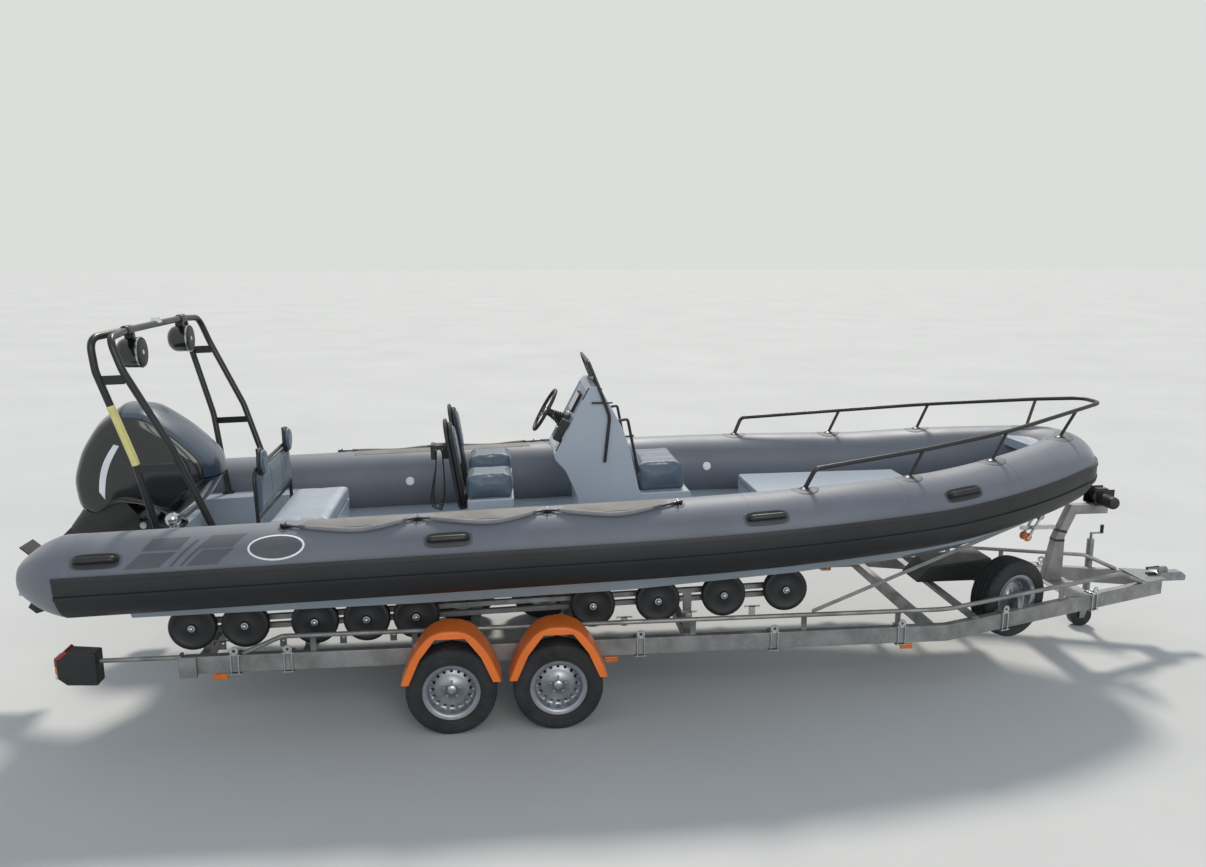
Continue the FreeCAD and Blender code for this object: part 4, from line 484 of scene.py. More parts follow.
def cord_curve(name, points, radius, material):
    """A rope whose line is one smooth spline with the route's points as its control points."""
    curve = bpy.data.curves.new(name, "CURVE")
    curve.dimensions = "3D"
    curve.bevel_depth = radius
    curve.bevel_resolution = 3
    curve.resolution_u = 6
    spline = curve.splines.new("NURBS")
    spline.points.add(len(points) - 1)
    for point, place in zip(spline.points, points):
        point.co = (*place, 1)
    spline.order_u = 3
    spline.use_endpoint_u = True
    curve.materials.append(material)
    made = bpy.data.objects.new(name, curve)
    scene.collection.objects.link(made)
    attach(made, ROOT)
    return made


GRAB_LINE = [
    (-2.5193, 1.2039, 1.5550), (-2.3690, 1.2382, 1.5475), (-2.1985, 1.2707, 1.5363),
    (-2.0183, 1.2870, 1.5314), (-1.8470, 1.2537, 1.5570), (-1.7107, 1.2067, 1.5802),
    (-1.6348, 1.2067, 1.5826), (-1.5225, 1.2382, 1.5747), (-1.3520, 1.2707, 1.5634),
    (-1.1718, 1.2870, 1.5586), (-1.0004, 1.2537, 1.5842), (-0.8642, 1.2067, 1.6074),
    (-0.7802, 1.2067, 1.6101), (-0.6679, 1.2382, 1.6021), (-0.4974, 1.2707, 1.5909),
    (-0.3172, 1.2870, 1.5861), (-0.1440, 1.2528, 1.6116), (0.0612, 1.1978, 1.6379)]
for side, word in ((1, "left"), (-1, "right")):
    route = [(x, y * side, z) for x, y, z in GRAB_LINE]
    line = cord_curve(f"lifeline_{word}", route, 0.007, braided_rope)
    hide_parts(f"grab_line_{word}")

# Mooring rope hung on its hook in six long loops, then a loose tail
HANK_TURN = [
    # x, how far the loops fan out, z down one side and up the other
    (2.334, 0.0, 0.520), (2.333, 0.1, 0.470), (2.322, 0.3, 0.390), (2.305, 0.6, 0.300), (2.290, 0.9, 0.215),
    (2.292, 1.0, 0.150), (2.314, 1.0, 0.112), (2.343, 1.0, 0.112), (2.366, 1.0, 0.150), (2.376, 0.9, 0.215),
    (2.382, 0.6, 0.300), (2.384, 0.3, 0.390), (2.381, 0.1, 0.470), (2.380, 0.0, 0.520)]
LOOPS = 6
hank = []
for turn in range(LOOPS + 1):
    column = turn - LOOPS / 2
    longer = (0, 0.020, -0.030, 0.012, -0.014, 0.026, 0)[turn]
    wider = (0, 0.012, -0.010, -0.020, 0.014, 0.004, 0)[turn]
    steps = HANK_TURN if turn < LOOPS else HANK_TURN[:4]
    for x, fan, z in steps:
        low = max(0.0, (0.45 - z) / 0.34)
        hank.append((x + (wider * low if x < 2.35 else -wider * 0.3 * low),
                     -0.352 + column * (0.0084 + 0.0032 * fan), z - longer * low))
    if turn < LOOPS:
        hank += [(2.3740, -0.352 + (column + 0.25) * 0.0084, 0.5475),
                 (2.3570, -0.352 + (column + 0.5) * 0.0084, 0.5555),
                 (2.3400, -0.352 + (column + 0.75) * 0.0084, 0.5475)]
hank = [BOAT @ Vector(point) for point in hank]
mooring_rope = cord_curve("mooring_rope", hank, 0.004, braided_rope)
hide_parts("rope_hank")


# Collar

bm = bmesh.new()
rim_at = moved((0, HALF, 0)) @ turned(90, "Y")
bmesh.ops.create_circle(bm, segments=80, radius=TUBE, matrix=rim_at)
stern_rim = list(bm.edges)
# forward: straight run, then the arcs to the nose
rim = stern_rim
for _ in range(6):
    rim = grow(bm, rim, moved((STRAIGHT / 6, 0, 0)))
for (place, heading, centre, axis, angle), steps in zip(RUNS, (14, 3, 22, 14)):
    shift = moved(centre) @ Matrix.Rotation(angle / steps, 4, axis) @ moved(-centre)
    for _ in range(steps):
        rim = grow(bm, rim, shift)
# aft: the cone, closing on a small round end
rim = stern_rim
aft, radius = 0.0, TUBE
for x, next_radius in ((-0.030, 0.262), (-0.075, 0.246), (-0.128, 0.223), (-0.180, 0.190), (-0.235, 0.150),
                       (-0.270, 0.120), (-0.283, 0.103), (-0.285, 0.090)):
    about = Vector((aft, HALF, 0))
    share = next_radius / radius
    rim = grow(bm, rim, moved((x - aft, 0, 0)) @ moved(about)
               @ Matrix.Diagonal((1, share, share, 1)) @ moved(-about))
    aft, radius = x, next_radius
bmesh.ops.holes_fill(bm, edges=rim, sides=0)
bmesh.ops.mirror(bm, geom=bm.verts[:] + bm.edges[:] + bm.faces[:], matrix=Matrix.Identity(4),
                 merge_dist=0.0008, axis="Y")
piece("collar_skin", bm, neoprene_cloth, place=BOAT, sharp=50, replaces=["collar"])


HANDLES = [0.264, 2.446, 4.548, 6.044]
RINGS = [1.400, 2.247, 3.102, 3.979]
SEAMS = [0.078, 1.580, 3.030, 4.470, 5.620, 6.560]
GRAPHICS = [
    # x, length, low angle, high angle, lean
    (0.430, 0.215, 20.2, 40.6, 1.05),
    (0.808, 0.190, 20.2, 41.0, 1.05),
    (0.530, 0.232, 44.6, 65.0, 0.55),
    (0.874, 0.214, 43.6, 65.0, 0.80),
    (0.706, 0.022, 20.6, 58.0, 0.86),
    (0.768, 0.022, 20.6, 58.0, 0.92),
]
RAIL_FEET = [4.915, 5.741, 6.493, 7.275]

tapes, graphics, wear, grips, bases, ovals, valves = [bmesh.new() for _ in range(7)]
for side in (1, -1):
    for x in SEAMS:
        join(tapes, patch(x - 0.020, 0.040, 14.5, 262, 0, 0.0010, (2, 48), side))
    for x, long, low, high, lean in GRAPHICS:
        join(graphics, patch(x, long, low, high, lean, 0.0012, (10, 8), side))
    for start, end in zip(RINGS, RINGS[1:]):
        join(wear, patch(start + 0.085, end - start - 0.170, 66, 108, 0.25, 0.0018, (20, 10), side))
    for x in HANDLES:
        base = bmesh.new()
        round_plate(base, (0, 0, 0), (0.158, 0.052), 0.0022, steps=56, power=4.5)
        lay_on_collar(base, x, 34, side)
        join(bases, base)
        grip = bmesh.new()
        round_plate(grip, (0, 0, 0.001), (0.142, 0.036), 0.0080, steps=56, power=4.0)
        bar = rounded_path([(-0.124, 0, -0.004), (-0.112, 0, 0.040), (0.112, 0, 0.040), (0.124, 0, -0.004)],
                           0.022)
        wide = [0.0150] + [0.0125] * (len(bar) - 2) + [0.0150]
        sweep(grip, bar, wide)
        for vert in grip.verts:
            vert.co.y *= 1.35 if abs(vert.co.z) > 0.009 or abs(vert.co.x) < 0.10 and vert.co.z > 0.01 else 1.0
        lay_on_collar(grip, x, 34, side)
        join(grips, grip)
    for places, degrees, radius in ((RAIL_FEET, 90, 0.098), (RINGS, 74, 0.050)):
        for x in places:
            pad = bmesh.new()
            round_plate(pad, (0, 0, 0), (radius, radius), 0.0024)
            lay_on_collar(pad, x, degrees, side)
            join(bases, pad)
    dark = bmesh.new()
    round_plate(dark, (0, 0, 0), (0.166, 0.079), 0.0024)
    lay_on_collar(dark, 1.360, 39.5, side)
    join(graphics, dark)
    pale = bmesh.new()
    round_plate(pale, (0, 0, 0), (0.178, 0.090), 0.0014)
    lay_on_collar(pale, 1.360, 39.5, side)
    join(ovals, pale)
    for x in (2.010, 4.640):
        valve = bmesh.new()
        lathe(valve, [(0.0080, 0.0001), (0.0080, 0.010), (0.0050, 0.013), (0.0050, 0.021), (0.0090, 0.024),
                      (0.0090, 0.031), (0.0030, 0.037), (-0.002, 0.038)], axis=(0, 0, 1), steps=28)
        lay_on_collar(valve, x, 172, side)
        join(valves, valve)
piece("seam_tapes", tapes, neoprene_cloth, place=BOAT)
piece("tube_graphics", graphics, patch_cloth, place=BOAT)
piece("wear_pads", wear, wear_cloth, place=BOAT)
piece("handle_bases", bases, patch_cloth, place=BOAT)
piece("handle_grips", grips, moulded_rubber, place=BOAT, sharp=60, replaces=["grab_handles"])
piece("oval_rims", ovals, white_plastic, place=BOAT)
piece("inflation_valves", valves, white_plastic, place=BOAT)

# Padded sleeves on the lifeline, from ring to ring
for side, word in ((1, "left"), (-1, "right")):
    twin = bpy.data.objects[f"lifeline_{word}"].copy()
    twin.data = twin.data.copy()
    twin.data.bevel_depth = 0
    twin.modifiers.clear()
    scene.collection.objects.link(twin)
    graph = bpy.context.evaluated_depsgraph_get()
    walk = bpy.data.meshes.new_from_object(twin.evaluated_get(graph))
    points = [BOAT.inverted() @ vert.co for vert in walk.vertices]
    bpy.data.objects.remove(twin)
    sleeves, ties = bmesh.new(), bmesh.new()
    for start, end in zip(RINGS, RINGS[1:]):
        run = [at for at in points if start + 0.062 < at.x < end - 0.062]
        out = []
        for at in run:
            centre = collar_at(at.x)[0]
            centre.y *= side
            out.append(at + (at - centre).normalized() * 0.0045)
        count = len(out) - 1
        wide = [0.0105 + 0.0045 * min(1, 6 * min(i, count - i) / count) for i in range(count + 1)]
        sweep(sleeves, out, wide, 16)
        for ends in (out[:3], out[-3:]):
            sweep(ties, ends, 0.0118, 14)
    on_line = [piece(f"sleeves_{word}", sleeves, sleeve_cloth, place=BOAT),
               piece(f"sleeve_ties_{word}", ties, patch_cloth, place=BOAT)]
    start = GRAB_LINE[0]


# Outboard

COWL_SIDE = [(0.172, 0.205), (0.205, 0.400), (0.175, 0.640), (0.060, 0.745), (-0.240, 0.760), (-0.540, 0.720),
             (-0.690, 0.600), (-0.738, 0.400), (-0.700, 0.160), (-0.600, -0.060), (-0.430, -0.205),
             (-0.310, -0.190), (-0.235, 0.020), (-0.060, 0.135)]
COWL_SECTIONS = [
    # place across, size
    (-0.283, 0.60), (-0.280, 0.72), (-0.262, 0.84), (-0.225, 0.91), (-0.150, 0.965), (-0.060, 0.995),
    (0.060, 0.995), (0.150, 0.965), (0.225, 0.91), (0.262, 0.84), (0.280, 0.72), (0.283, 0.60)]
COWL_HEART = Vector((-0.260, 0, 0.330))
bm = bmesh.new()
across, size = COWL_SECTIONS[0]
ring = [bm.verts.new(COWL_HEART + (Vector((x, 0, z)) - COWL_HEART) * size + Vector((0, across, 0)))
        for x, z in COWL_SIDE]
rim = [bm.edges.new(pair) for pair in zip(ring, ring[1:] + ring[:1])]
cap = bmesh.ops.holes_fill(bm, edges=rim, sides=0)["faces"]
for next_across, next_size in COWL_SECTIONS[1:]:
    here = COWL_HEART + Vector((0, across, 0))
    step = moved((0, next_across - across, 0)) @ moved(here)
    rim = grow(bm, rim, step @ Matrix.Scale(next_size / size, 4) @ moved(-here))
    across, size = next_across, next_size
cap += bmesh.ops.holes_fill(bm, edges=rim, sides=0)["faces"]
bmesh.ops.recalc_face_normals(bm, faces=bm.faces)
bmesh.ops.inset_individual(bm, faces=cap, thickness=0.05, depth=0.002)
bmesh.ops.subdivide_edges(bm, edges=bm.edges[:], cuts=1, use_grid_fill=True)
bmesh.ops.recalc_face_normals(bm, faces=bm.faces)
shell = [face for face in bm.faces if face.normal.z > 0.35 and face.calc_center_median().z > 0.50]
bmesh.ops.inset_region(bm, faces=shell, thickness=0.010, depth=-0.003)
for face in shell:
    face.material_index = 1
cowl = piece("cowl_cover", bm, black_lacquer, "engine", ENGINE, sharp=60, smooth=2, replaces=["cowl"])
cowl.data.materials.append(slate_paint)

# The apron that closes the leg's top under the cowl: an outline about the leg, drawn down in steps
bm = bmesh.new()
rim = None
for x, z, half_long, half_wide in ((-0.215, 0.060, 0.300, 0.170), (-0.222, -0.060, 0.262, 0.150),
                                   (-0.235, -0.180, 0.205, 0.122), (-0.250, -0.330, 0.165, 0.100),
                                   (-0.262, -0.440, 0.140, 0.080)):
    stand = moved((x, 0, z)) @ turned(12, "Y")
    if rim is None:
        shape = stand @ Matrix.Diagonal((half_long, half_wide, 1, 1))
        bmesh.ops.create_circle(bm, segments=40, radius=1, matrix=shape)
        rim = first = list(bm.edges)
    else:
        step = stand @ Matrix.Diagonal((half_long / before[0], half_wide / before[1], 1, 1)) @ last.inverted()
        rim = grow(bm, rim, step)
    last, before = stand, (half_long, half_wide)
for edges in (first, rim):
    bmesh.ops.holes_fill(bm, edges=edges, sides=0)
piece("leg_apron", bm, painted_casting, "engine", ENGINE, sharp=50)


# Engine fittings

def lay_on(bm, target, place, way, proud=0.001):
    """Drops a flat form onto a finished piece: each point goes along `way` to the skin."""
    graph = bpy.context.evaluated_depsgraph_get()
    skin = BVHTree.FromObject(target, graph)
    down = (place.to_3x3() @ Vector(way)).normalized()
    back = place.inverted()
    for vert in bm.verts:
        start = place @ vert.co
        hit = skin.ray_cast(start - down * 0.5, down)[0]
        if hit:
            vert.co = back @ (hit - down * proud)


# A broad white stripe down each side of the cowl
stripe = bmesh.new()
for side in (-1, 1):
    flat = bmesh.new()
    bmesh.ops.create_grid(flat, x_segments=6, y_segments=26, size=0.5)
    for vert in flat.verts:
        across, along = vert.co.x + 0.5, vert.co.y + 0.5
        top = Vector((-0.520 + 0.034 * across, 0, 0.388 + 0.016 * across))
        low = Vector((-0.378 + 0.066 * across, 0, 0.046 - 0.018 * across))
        bow = Vector((-0.030, 0, -0.010)) * math.sin(math.pi * along)
        vert.co = top.lerp(low, along) + bow
    lay_on(flat, cowl, ENGINE, (0, -side, 0))
    join(stripe, flat)
piece("cowl_stripes", stripe, white_plastic, "engine", ENGINE)

# Screw: its hub, and three twisted blades
bm = bmesh.new()
lathe(bm, [(-0.064, 0.0001), (-0.060, 0.016), (-0.046, 0.032), (0.058, 0.040), (0.064, 0.036),
           (0.064, 0.0001)], (-0.337, 0, -0.930), (1, 0, 0), 32)
for blade in range(3):
    leaf = bmesh.new()
    bmesh.ops.create_grid(leaf, x_segments=12, y_segments=12, size=1)
    for vert in leaf.verts:
        out = (vert.co.x + 1) / 2
        width = 0.60 * math.sqrt(max(0.0, 1 - (max(0.0, out - 0.35) / 0.68) ** 2.4)) * (0.72 + 0.5 * out)
        angle = vert.co.y * width + 0.35 * out ** 2 + math.radians(180 + 120 * blade)
        radius = 0.034 + out * 0.132
        vert.co = (-0.337 + 0.050 * vert.co.y * width - 0.010 * out, radius * math.cos(angle),
                   -0.930 + radius * math.sin(angle))
    bmesh.ops.solidify(leaf, geom=leaf.faces[:], thickness=0.004)
    join(bm, leaf)
piece("screw_blades", bm, stainless, "screw", ENGINE, sharp=50, replaces=["propeller"])

# Bolts and the tilt pin's caps on the clamp, and the leg's anodes
bolts, anodes = bmesh.new(), bmesh.new()
for side in (-1, 1):
    for x, z in ((0.075, -0.012), (0.160, -0.055), (0.133, -0.180), (0.133, -0.340)):
        pin(bolts, (x, side * 0.166, z), (x, side * 0.1765, z), 0.013, 0.012, sides=6)
    pin(bolts, (0, side * 0.166, 0), (0, side * 0.175, 0), 0.026, 0.024)
    block(anodes, (-0.215, side * 0.042 - 0.006, -0.560), (-0.135, side * 0.042 + 0.006, -0.520))
piece("clamp_bolts", bolts, bright_zinc, ROOT, TILT_PIN, rounding=0.0015)
piece("leg_anodes", anodes, bright_zinc, "engine", ENGINE, rounding=0.0015)

# Round chrome vent on its stem, aft to starboard
bm = bmesh.new()
ball(bm, (0.470, -0.500, 0.175), (0.056, 0.056, 0.056), 32, 20)
lathe(bm, [(0.110, 0.034), (0.118, 0.036), (0.124, 0.030)], (0.470, -0.500, 0), (0, 0, 1), 28)
piece("chrome_vent", bm, stainless, place=BOAT)
bm = bmesh.new()
pin(bm, (0.470, -0.500, -0.197), (0.470, -0.500, 0.128), 0.026, 0.020)
piece("vent_stem", bm, black_abs, place=BOAT, rounding=0.002)


# Arch, rails and speakers

ARCH_LEGS = [
    [(0.343, 0.590, 1.528), (0.248, 0.975, 1.512), (0.265, 0.985, 1.300), (0.415, 0.930, 0.700),
     (0.500, 0.826, 0.032)],
    [(0.343, 0.590, 1.528), (0.365, 0.965, 1.508), (0.430, 0.985, 1.300), (0.665, 0.940, 0.770),
     (0.890, 0.826, 0.032)]]
bm = bmesh.new()
for leg in ARCH_LEGS:
    sweep(bm, rounded_path(leg, [0.105, 0.300, 0.500], 8), 0.024, 20)
    block(bm, (leg[-1][0] - 0.045, 0.794, 0.030), (leg[-1][0] + 0.045, 0.854, 0.039))
block(bm, (0.278, 0.978, 1.210), (0.437, 0.986, 1.270))
block(bm, (0.435, 0.930, 0.614), (0.702, 0.938, 0.666))
lathe(bm, [(0.546, 0.0001), (0.546, 0.031), (0.550, 0.033), (0.628, 0.033), (0.632, 0.031), (0.632, 0.0001)],
      (0.343, 0, 1.528), (0, 1, 0), 28)
mirrored(bm)
pin(bm, (0.343, -0.590, 1.528), (0.343, 0.590, 1.528), 0.024)
piece("arch_tubes", bm, powder_coat, place=BOAT, sharp=40, rounding=0.002, replaces=["arch"])

tape = bmesh.new()
rear_leg = [Vector((at.x, -at.y, at.z)) for at in rounded_path(ARCH_LEGS[0], [0.105, 0.300, 0.500], 8)]
low = next(at for at in rear_leg if at.z < 0.80)
sweep(tape, [(0.322, -0.9640, 1.072), low] + [at for at in rear_leg if 0.60 < at.z < low.z - 0.001],
      0.0256, 28)
piece("leg_tape", tape, cloth_tape, place=BOAT)

drums, grilles, rims, mounts = bmesh.new(), bmesh.new(), bmesh.new(), bmesh.new()
for side in (-1, 1):
    at = (0.281, side * 0.540, 1.372)
    lathe(drums, [(-0.030, 0.0001), (-0.030, 0.045), (-0.022, 0.068), (0.004, 0.094), (0.030, 0.103),
                  (0.120, 0.1045), (0.132, 0.1040), (0.136, 0.1000), (0.130, 0.0950)], at, (1, 0, 0), 48)
    lathe(grilles, [(0.130, 0.0960), (0.136, 0.0880), (0.1385, 0.0500), (0.1385, 0.0001)], at, (1, 0, 0), 48)
    lathe(rims, [(0.118, 0.1045), (0.120, 0.1062), (0.128, 0.1062), (0.130, 0.1045)], at, (1, 0, 0), 48)
    lathe(rims, [(0.1380, 0.018), (0.1405, 0.016), (0.1405, 0.0001)], at, (1, 0, 0), 24)
    block(mounts, (0.313, side * 0.540 - 0.022, 1.470), (0.373, side * 0.540 + 0.022, 1.508))
    lathe(mounts, [(-0.020, 0.025), (-0.020, 0.032), (0.020, 0.032), (0.020, 0.025)],
          (0.343, side * 0.540, 1.528), (0, 1, 0), 28)
piece("speaker_drums", drums, black_lacquer, place=BOAT, replaces=["speakers"])
piece("speaker_grilles", grilles, black_abs, place=BOAT)
piece("speaker_rims", rims, stainless, place=BOAT)
piece("speaker_mounts", mounts, powder_coat, place=BOAT, rounding=0.004)

# Bow rail: where each post meets it, above the feet that follow the first
RAIL_TOPS = [(5.843, 0.888, 0.465), (6.584, 0.684, 0.519), (7.365, 0.300, 0.583)]
bm = bmesh.new()
half = [on_collar(RAIL_FEET[0], 90), (4.985, 1.058, 0.412), *RAIL_TOPS, (7.672, 0.130, 0.602)]
half = [Vector(point) for point in half]
line = half + [Vector((at.x, -at.y, at.z)) for at in reversed(half)]
bends = [0.060, 2.5, 2.5, 1.2, 0.140]
for x, top in zip(RAIL_FEET[1:], RAIL_TOPS):
    pin(bm, on_collar(x, 90), top, 0.0125, sides=18)
for x in RAIL_FEET:
    at = on_collar(x, 90)
    lathe(bm, [(-0.006, 0.040), (0.005, 0.038), (0.010, 0.024), (0.014, 0.018), (0.014, 0.0001)], at,
          (0, 0, 1), 28)
mirrored(bm)
sweep(bm, rounded_path(line, bends + bends[::-1], 8), 0.016, 18)
piece("bow_rail_tubes", bm, powder_coat, place=BOAT, sharp=40, replaces=["bow_rail"])

bm = bmesh.new()
sweep(bm, rounded_path([(3.583, 0.367, 0.388), (3.632, 0.367, 0.735), (3.575, 0.367, 0.905),
                        (3.489, 0.330, 1.146), (3.489, 0.0, 1.146)], [0.160, 0.160, 0.070], 8), 0.012, 16)
sweep(bm, rounded_path([(3.700, 0.324, 0.690), (3.770, 0.324, 0.700), (3.840, 0.324, 0.285),
                        (3.790, 0.324, 0.280)], 0.022), 0.011, 16)
for x, z in ((3.590, 0.430), (3.600, 0.840)):
    pin(bm, (x, 0.345, z), (x, 0.367, z), 0.009)
pin(bm, (3.500, 0.366, 0.840), (3.655, 0.366, 0.836), 0.007)
mirrored(bm)
piece("console_handrails", bm, powder_coat, place=BOAT, sharp=40, replaces=["console_rails"])


# Console and helm

CONSOLE = [(3.371, -0.195), (3.374, 0.000), (3.368, 0.125), (3.286, 0.330), (3.196, 0.435), (3.496, 0.965),
           (3.568, 0.950), (3.726, 0.640), (3.781, 0.460), (3.846, 0.125), (4.241, 0.125), (4.241, -0.195)]
bm = bmesh.new()
ring = [bm.verts.new((x, -0.350, z)) for x, z in CONSOLE]
for pair in zip(ring, ring[1:] + ring[:1]):
    bm.edges.new(pair)
wall = bmesh.ops.contextual_create(bm, geom=bm.edges[:])["faces"]
swept_wall = bmesh.ops.extrude_face_region(bm, geom=wall)["geom"]
bmesh.ops.translate(bm, vec=(0, 0.700, 0), verts=verts_in(swept_wall))
bmesh.ops.recalc_face_normals(bm, faces=bm.faces)
along = [edge for edge in bm.edges if abs(edge.verts[0].co.y - edge.verts[1].co.y) > 0.5
         and edge.verts[0].co.z > -0.15]
soften(bm, along, 0.030, 4)
dash = [face for face in bm.faces if face.normal.x < -0.80 and face.normal.z > 0.4 and face.calc_area() > 0.2]
bmesh.ops.inset_region(bm, faces=dash, thickness=0.032)
bmesh.ops.inset_region(bm, faces=dash, thickness=0.006, depth=-0.014)
piece("console_shell", bm, gelcoat, place=BOAT, sharp=32, rounding=0.008, replaces=["console"])

# The dash frame: X up the slope from its foot, Z out of it
DASH = BOAT @ Matrix(((0.4926, 0, -0.8703, 3.196), (0, 1, 0, 0), (0.8703, 0, 0.4926, 0.435), (0, 0, 0, 1)))
bm = bmesh.new()
block(bm, (0.315, -0.300, -0.014), (0.560, 0.300, -0.008))
piece("dash_panel", bm, dash_laminate, place=DASH, rounding=0.002)
blacks, chromes = bmesh.new(), bmesh.new()
for x, y, radius in ((0.255, 0.235, 0.044), (0.255, 0.120, 0.044), (0.170, 0.260, 0.028),
                     (0.170, 0.185, 0.028)):
    lathe(blacks, [(-0.006, radius), (-0.004, radius * 0.4), (-0.004, 0.0001)], (x, y, 0), (0, 0, 1), 32)
    lathe(chromes, [(-0.015, radius + 0.005), (-0.003, radius + 0.004), (-0.001, radius),
                    (-0.007, radius - 0.003)], (x, y, 0), (0, 0, 1), 32)
block(blacks, (0.090, 0.060, -0.015), (0.135, 0.290, -0.009))
for switch in range(6):
    y = 0.080 + switch * 0.038
    block(blacks, (0.097, y - 0.012, -0.010), (0.128, y + 0.012, -0.002))
for x in (0.105, 0.540):
    for rib in range(5):
        block(blacks, (x - 0.045 + 0.0195 * rib, -0.336, -0.001), (x - 0.034 + 0.0195 * rib, -0.322, 0.008))
    block(blacks, (x - 0.050, -0.340, -0.004), (x + 0.050, -0.318, 0.004))
block(blacks, (0.345, -0.110, -0.010), (0.500, 0.110, 0.012))
piece("dash_switches", blacks, black_abs, place=DASH, rounding=0.002)
piece("gauge_rims", chromes, stainless, place=DASH)
bm = bmesh.new()
block(bm, (0.352, -0.102, 0.012), (0.493, 0.102, 0.0135))
piece("chart_display", bm, smoked_acrylic, place=DASH)

helm_way = Vector((math.cos(math.radians(31.5)), 0, -math.sin(math.radians(31.5))))
HELM = (BOAT @ moved((3.165, 0, 0.748))
        @ Vector((0, 0, 1)).rotation_difference(helm_way).to_matrix().to_4x4())
bm = bmesh.new()
ring = bmesh.ops.create_circle(bm, segments=16, radius=0.0135,
                               matrix=moved((0.172, 0, 0)) @ Matrix.Rotation(math.pi / 2, 4, "X"))["verts"]
bmesh.ops.spin(bm, geom=ring + bm.edges[:], cent=(0, 0, 0), axis=(0, 0, 1), angle=math.tau, steps=64,
               use_merge=True)
piece("helm_rim", bm, foam_grip, "helm", HELM, replaces=["steering_wheel"])
bm = bmesh.new()
for angle in (60, 180, 300):
    arm = bmesh.new()
    for shift in (-0.011, 0.011):
        sweep(arm, rounded_path([(0.030, shift, 0.012), (0.070, shift, 0.010), (0.165, shift * 1.5, 0.0)],
                                0.05), 0.0048, 10)
    bmesh.ops.rotate(arm, verts=arm.verts, cent=(0, 0, 0),
                     matrix=Matrix.Rotation(math.radians(angle), 3, "Z"))
    join(bm, arm)
lathe(bm, [(-0.006, 0.0001), (-0.006, 0.037), (0.004, 0.040), (0.014, 0.040), (0.020, 0.036)], (0, 0, 0),
      (0, 0, 1), 32)
piece("helm_spokes", bm, stainless, "helm", HELM)
bm = bmesh.new()
lathe(bm, [(-0.014, 0.0001), (-0.013, 0.020), (-0.008, 0.031), (-0.002, 0.034), (0.012, 0.034)], (0, 0, 0),
      (0, 0, 1), 32)
lathe(bm, [(0.020, 0.030), (0.048, 0.030), (0.048, 0.0001)], (0, 0, 0), (0, 0, 1), 24)
piece("helm_hub", bm, black_abs, "helm", HELM)
bm = bmesh.new()
folds = [(0.0505, 0.0001), (0.0505, 0.031), (0.074, 0.033)]
for fold in range(4):
    folds += [(0.080 + 0.018 * fold, 0.040 + 0.004 * fold), (0.089 + 0.018 * fold, 0.034 + 0.004 * fold)]
lathe(bm, folds + [(0.152, 0.060), (0.160, 0.064), (0.265, 0.064)], (0, 0, 0), (0, 0, 1), 40)
piece("helm_boot", bm, black_abs, ROOT, HELM, replaces=["helm_column"])
bm = bmesh.new()
sweep(bm, rounded_path([(3.560, -0.300, 0.925), (3.502, -0.286, 1.129), (3.502, 0.286, 1.129),
                        (3.560, 0.300, 0.925)], 0.03), 0.0055, 12)
piece("screen_trim", bm, stainless, place=BOAT)


# Trailer fittings

ROLLERS = [(-3.292, 0.7122), (-2.932, 0.7172), (-2.453, 0.7239), (-2.092, 0.7289), (-1.743, 0.7339),
           (-0.473, 0.7625), (0.007, 0.7816), (0.499, 0.8075), (0.967, 0.8313)]
ROLLER_HALF = [(0.039, 0.013), (0.039, 0.030), (0.031, 0.035), (0.026, 0.060), (0.026, 0.122), (0.030, 0.128),
               (0.031, 0.150), (0.028, 0.156), (0.021, 0.1635), (0.010, 0.165)]
tyres, bolts, brackets = bmesh.new(), bmesh.new(), bmesh.new()
for x, z in ROLLERS:
    for side in (-1, 1):
        at = (x, side * 0.745, z)
        lathe(tyres, ROLLER_HALF + [(-across, radius) for across, radius in reversed(ROLLER_HALF)], at,
              steps=56)
        for face in (-1, 1):
            lathe(bolts, [(face * 0.038, 0.0250), (face * 0.0425, 0.0245), (face * 0.0430, 0.0170),
                          (face * 0.0520, 0.0160), (face * 0.0575, 0.0105), (face * 0.0590, 0.0001)],
                  at, steps=20)
piece("roller_wheels", tyres, strake_rubber, sharp=40, replaces=["hull_rollers"])
piece("roller_bolts", bolts, bright_zinc, sharp=40)
for x, z in [((a[0] + b[0]) / 2, (a[1] + b[1]) / 2)
             for a, b in zip(ROLLERS, ROLLERS[1:]) if b[0] - a[0] < 0.6]:
    for side in (-1, 1):
        y = side * 0.700
        block(brackets, (x - 0.060, y - 0.004, z - 0.140), (x + 0.060, y + 0.004, z - 0.128))
        block(brackets, (x - 0.024, y - 0.004, z - 0.200), (x + 0.024, y + 0.004, z - 0.130))
        pin(brackets, (x, y - 0.014, z - 0.160), (x, y + 0.014, z - 0.160), 0.010, sides=6)
piece("cradle_brackets", brackets, bright_zinc, rounding=0.001)

# Clamp hoops round the side beams, each with its lashing eye
HOOPS = [-2.980, -2.620, -0.140, 0.850, 1.820, 2.720, 3.660]
